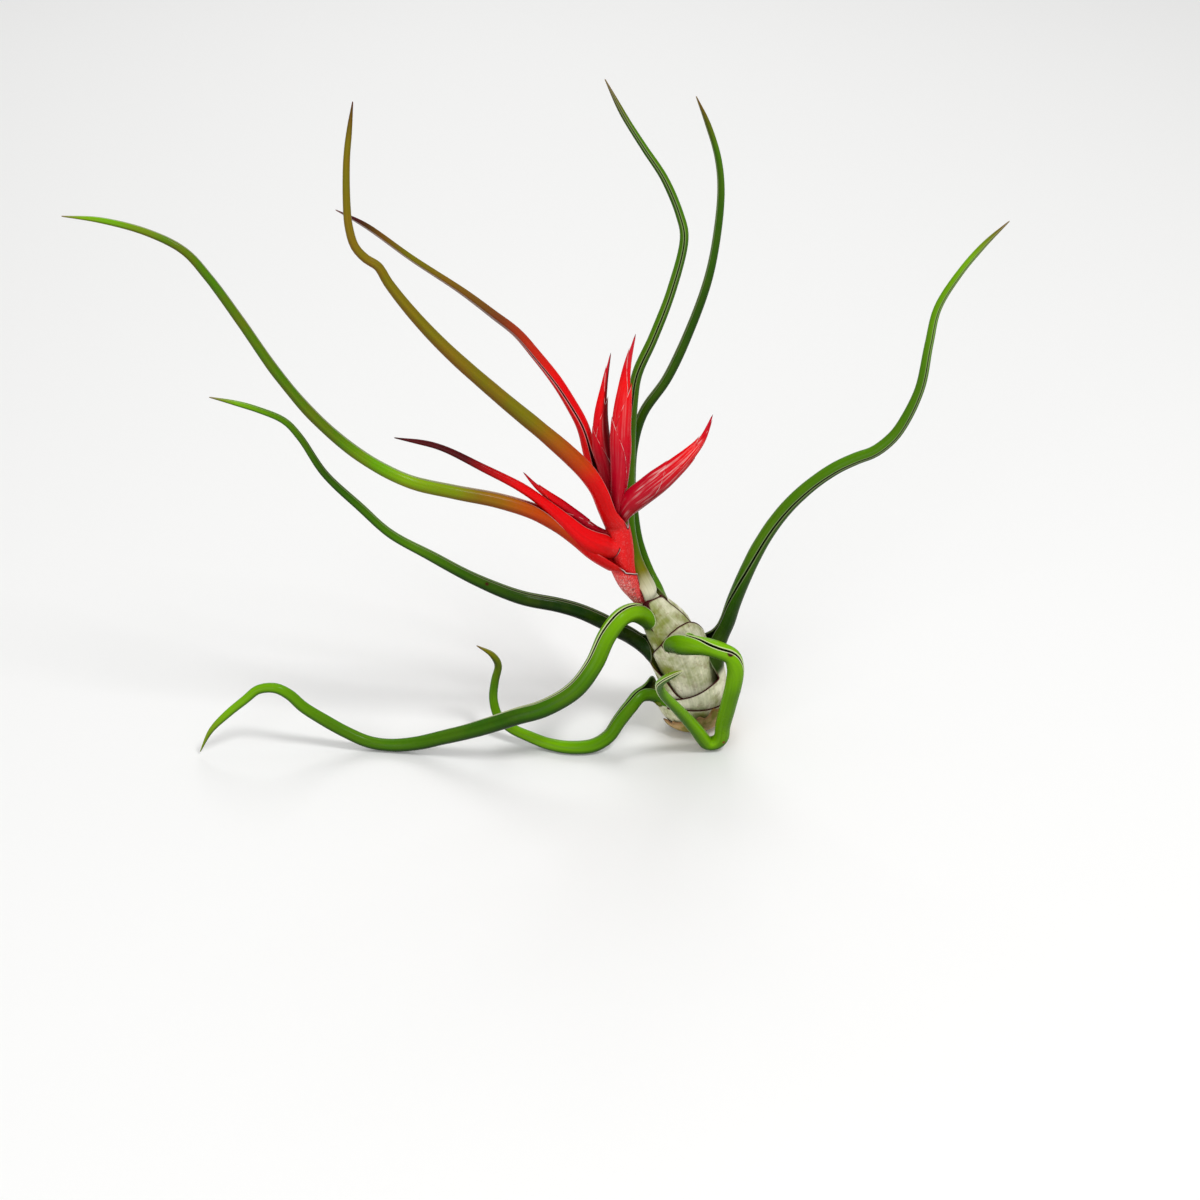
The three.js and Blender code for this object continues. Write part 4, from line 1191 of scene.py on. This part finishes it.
def make_spike(name, spec, sizes, materials):
    """A spike: its core and the bracts in two ranks, the lower ones over the upper ones."""
    sheet = Sheet()
    path = Path(spec["route"])
    broad = path.heading(0.5).cross(FRONT).normalized()
    half, count = spec["half"], spec["bracts"]
    spike_core(sheet, path, broad, half)
    for k in range(count):
        start = 0.04 + 0.5 * k / count
        hand = 1 if k % 2 else -1
        spike_bract(sheet, path, broad, half, start, hand, count - k)
    sheet.measure_margin()
    settle(sheet.finish(f"{name}_fine", sizes.bract_wall, materials), name)


# ---------------------------------------------------------------- operators
class PLANT_OT_stem(Operator):
    """Gives the woody stem its bark"""

    bl_idname = "airplant.stem"
    bl_label = "Stem"

    def execute(self, context):
        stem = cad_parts["stem"]
        stem.data.materials.clear()
        stem.data.materials.append(bark_material(context.scene.plant_colours))
        return {"FINISHED"}


class PLANT_OT_dry_sheath(Operator):
    """Makes the papery dead sheath round the foot of the bulb"""

    bl_idname = "airplant.dry_sheath"
    bl_label = "Dry sheath"

    def execute(self, context):
        spec = bulb_spec("dry", DRY_SHEATH)
        sheet = Sheet()
        angles, _ = column_angles(spec["wrap"], spec["base"])
        rows = bend_sheath(sheet, spec, angles, fray=1.6)
        sheet.measure_margin(rows[0])
        sheet.face_outwards()
        paper = dry_material(context.scene.plant_colours)
        wall = context.scene.plant_sizes.sheath_wall
        settle(sheet.finish("dry_sheath_fine", wall, [paper, paper]), "dry_sheath")
        return {"FINISHED"}


class PLANT_OT_leaves(Operator):
    """Makes the leaves of the bulb, each with its sheath"""

    bl_idname = "airplant.leaves"
    bl_label = "Leaves"

    def execute(self, context):
        sizes, colours = context.scene.plant_sizes, context.scene.plant_colours
        inner = inner_material("leaf_inside", colours.fresh, colours.mottle)
        for i, (name, spec) in enumerate(LEAVES.items()):
            lip = spec.get("lip", 0.15)
            outer = leaf_material(f"leaf_{name}_skin", spec, colours, LEAF_LOOK, 3.0 * i, lip=lip)
            make_leaf(f"leaf_{name}", bulb_spec(name, spec), sizes, [outer, inner])
        return {"FINISHED"}


class PLANT_OT_bracts(Operator):
    """Makes the leafy bracts of the scape"""

    bl_idname = "airplant.bracts"
    bl_label = "Leafy bracts"

    def execute(self, context):
        sizes, colours = context.scene.plant_sizes, context.scene.plant_colours
        inner = inner_material("bract_inside", colours.red, colours.red)
        for i, (name, spec) in enumerate(BRACTS.items()):
            scurf, skin = spec["scurf"], f"bract_{name}_skin"
            scales = [(0.0, scurf), (0.17, 0.8 * scurf), (0.21, 0.1), (0.25, 0.01), (1.0, 0.01)]
            outer = leaf_material(
                skin, spec, colours, BRACT_LOOK, 40.0 + 3 * i, 0.7 * scurf, 0.45, scales
            )
            make_leaf(f"bract_{name}", scape_spec(spec), sizes, [outer, inner])
        return {"FINISHED"}


class PLANT_OT_spikes(Operator):
    """Makes the flower spikes"""

    bl_idname = "airplant.spikes"
    bl_label = "Flower spikes"

    def execute(self, context):
        sizes, colours = context.scene.plant_sizes, context.scene.plant_colours
        inner = inner_material("spike_inside", colours.rose, colours.rose)
        for i, (name, spec) in enumerate(SPIKES.items()):
            pallor, painted_flank_shade = spec["pallor"], spec.get("painted_flank_shade", 0.0)
            outer = spike_material(f"spike_{name}_skin", colours, 7.0 * i, pallor, painted_flank_shade)
            make_spike(f"spike_{name}", spec, sizes, [outer, inner])
        return {"FINISHED"}


# The studio, in metres, with the lens in millimetres and the camera's dip in degrees. A light has
# its name, place, width and watts.
FLOOR_RADIUS = 6.0
FLOOR_SIDES = 96
LIGHTS = [
    ("key", (0.45, -0.4, 1.1), 0.3, 6.0),
    ("front", (-0.5, -1.1, 0.55), 0.9, 5.5),
    ("back", (-0.1, 0.9, 0.8), 0.6, 2.5),
]
LIGHT_TARGET = Vector((-0.03, 0, 0.06))
WORLD_STRENGTH = 0.53
CAMERA_PLACE = Vector((-25.4, -462.9, 317.0)) * MM
CAMERA_DIP = 31
SENSOR_WIDTH = 36
FOCAL_LENGTH = 61.5


def link_object(scene, name, data):
    made = bpy.data.objects.new(name, data)
    scene.collection.objects.link(made)
    return made


class PLANT_OT_stage(Operator):
    """Makes the floor, the soft studio lights and the camera"""

    bl_idname = "airplant.stage"
    bl_label = "Stage"

    def execute(self, context):
        scene = context.scene
        bm = bmesh.new()
        bmesh.ops.create_circle(bm, cap_ends=True, radius=FLOOR_RADIUS, segments=FLOOR_SIDES)
        mesh = bpy.data.meshes.new("floor")
        bm.to_mesh(mesh)
        bm.free()
        floor = link_object(scene, "floor", mesh)
        mesh.materials.append(floor_material(scene.plant_colours))
        for name, place, width, power in LIGHTS:
            lamp = bpy.data.lights.new(name, "AREA")
            lamp.shape, lamp.size, lamp.energy = "DISK", width, power
            light = link_object(scene, name, lamp)
            light.location = place
            aim = LIGHT_TARGET - Vector(place)
            light.rotation_euler = aim.to_track_quat("-Z", "Y").to_euler()
        world = bpy.data.worlds.new("studio")
        world.use_nodes = True
        sky = world.node_tree.nodes["Background"].inputs
        sky["Color"].default_value = (1, 1, 1, 1)
        sky["Strength"].default_value = WORLD_STRENGTH
        scene.world = world
        scene.view_settings.view_transform = "Standard"
        lens = bpy.data.cameras.new("camera")
        lens.sensor_width, lens.lens = SENSOR_WIDTH, FOCAL_LENGTH
        lens.clip_start, lens.clip_end = 0.01, 20
        camera = link_object(scene, "camera", lens)
        camera.location = CAMERA_PLACE
        camera.rotation_euler = (math.radians(90 - CAMERA_DIP), 0, 0)
        scene.camera = camera
        return {"FINISHED"}


class PLANT_PT_panel(Panel):
    """Buttons and settings of the air plant"""

    bl_idname = "PLANT_PT_panel"
    bl_label = "Air plant"
    bl_space_type = "VIEW_3D"
    bl_region_type = "UI"
    bl_category = "Air plant"

    def draw(self, context):
        for operator in OPERATORS:
            self.layout.operator(operator.bl_idname)
        for group in (context.scene.plant_sizes, context.scene.plant_colours):
            for key in group.__annotations__:
                self.layout.prop(group, key)


OPERATORS = (
    PLANT_OT_stem,
    PLANT_OT_dry_sheath,
    PLANT_OT_leaves,
    PLANT_OT_bracts,
    PLANT_OT_spikes,
    PLANT_OT_stage,
)
CLASSES = (PlantSizes, PlantColours, *OPERATORS, PLANT_PT_panel)


def register():
    for cls in CLASSES:
        bpy.utils.register_class(cls)
    bpy.types.Scene.plant_sizes = PointerProperty(type=PlantSizes)
    bpy.types.Scene.plant_colours = PointerProperty(type=PlantColours)


def unregister():
    del bpy.types.Scene.plant_colours
    del bpy.types.Scene.plant_sizes
    for cls in reversed(CLASSES):
        bpy.utils.unregister_class(cls)


def main():
    register()
    for operator in OPERATORS:
        group, name = operator.bl_idname.split(".")
        getattr(getattr(bpy.ops, group), name)()


if __name__ == "__main__":
    main()
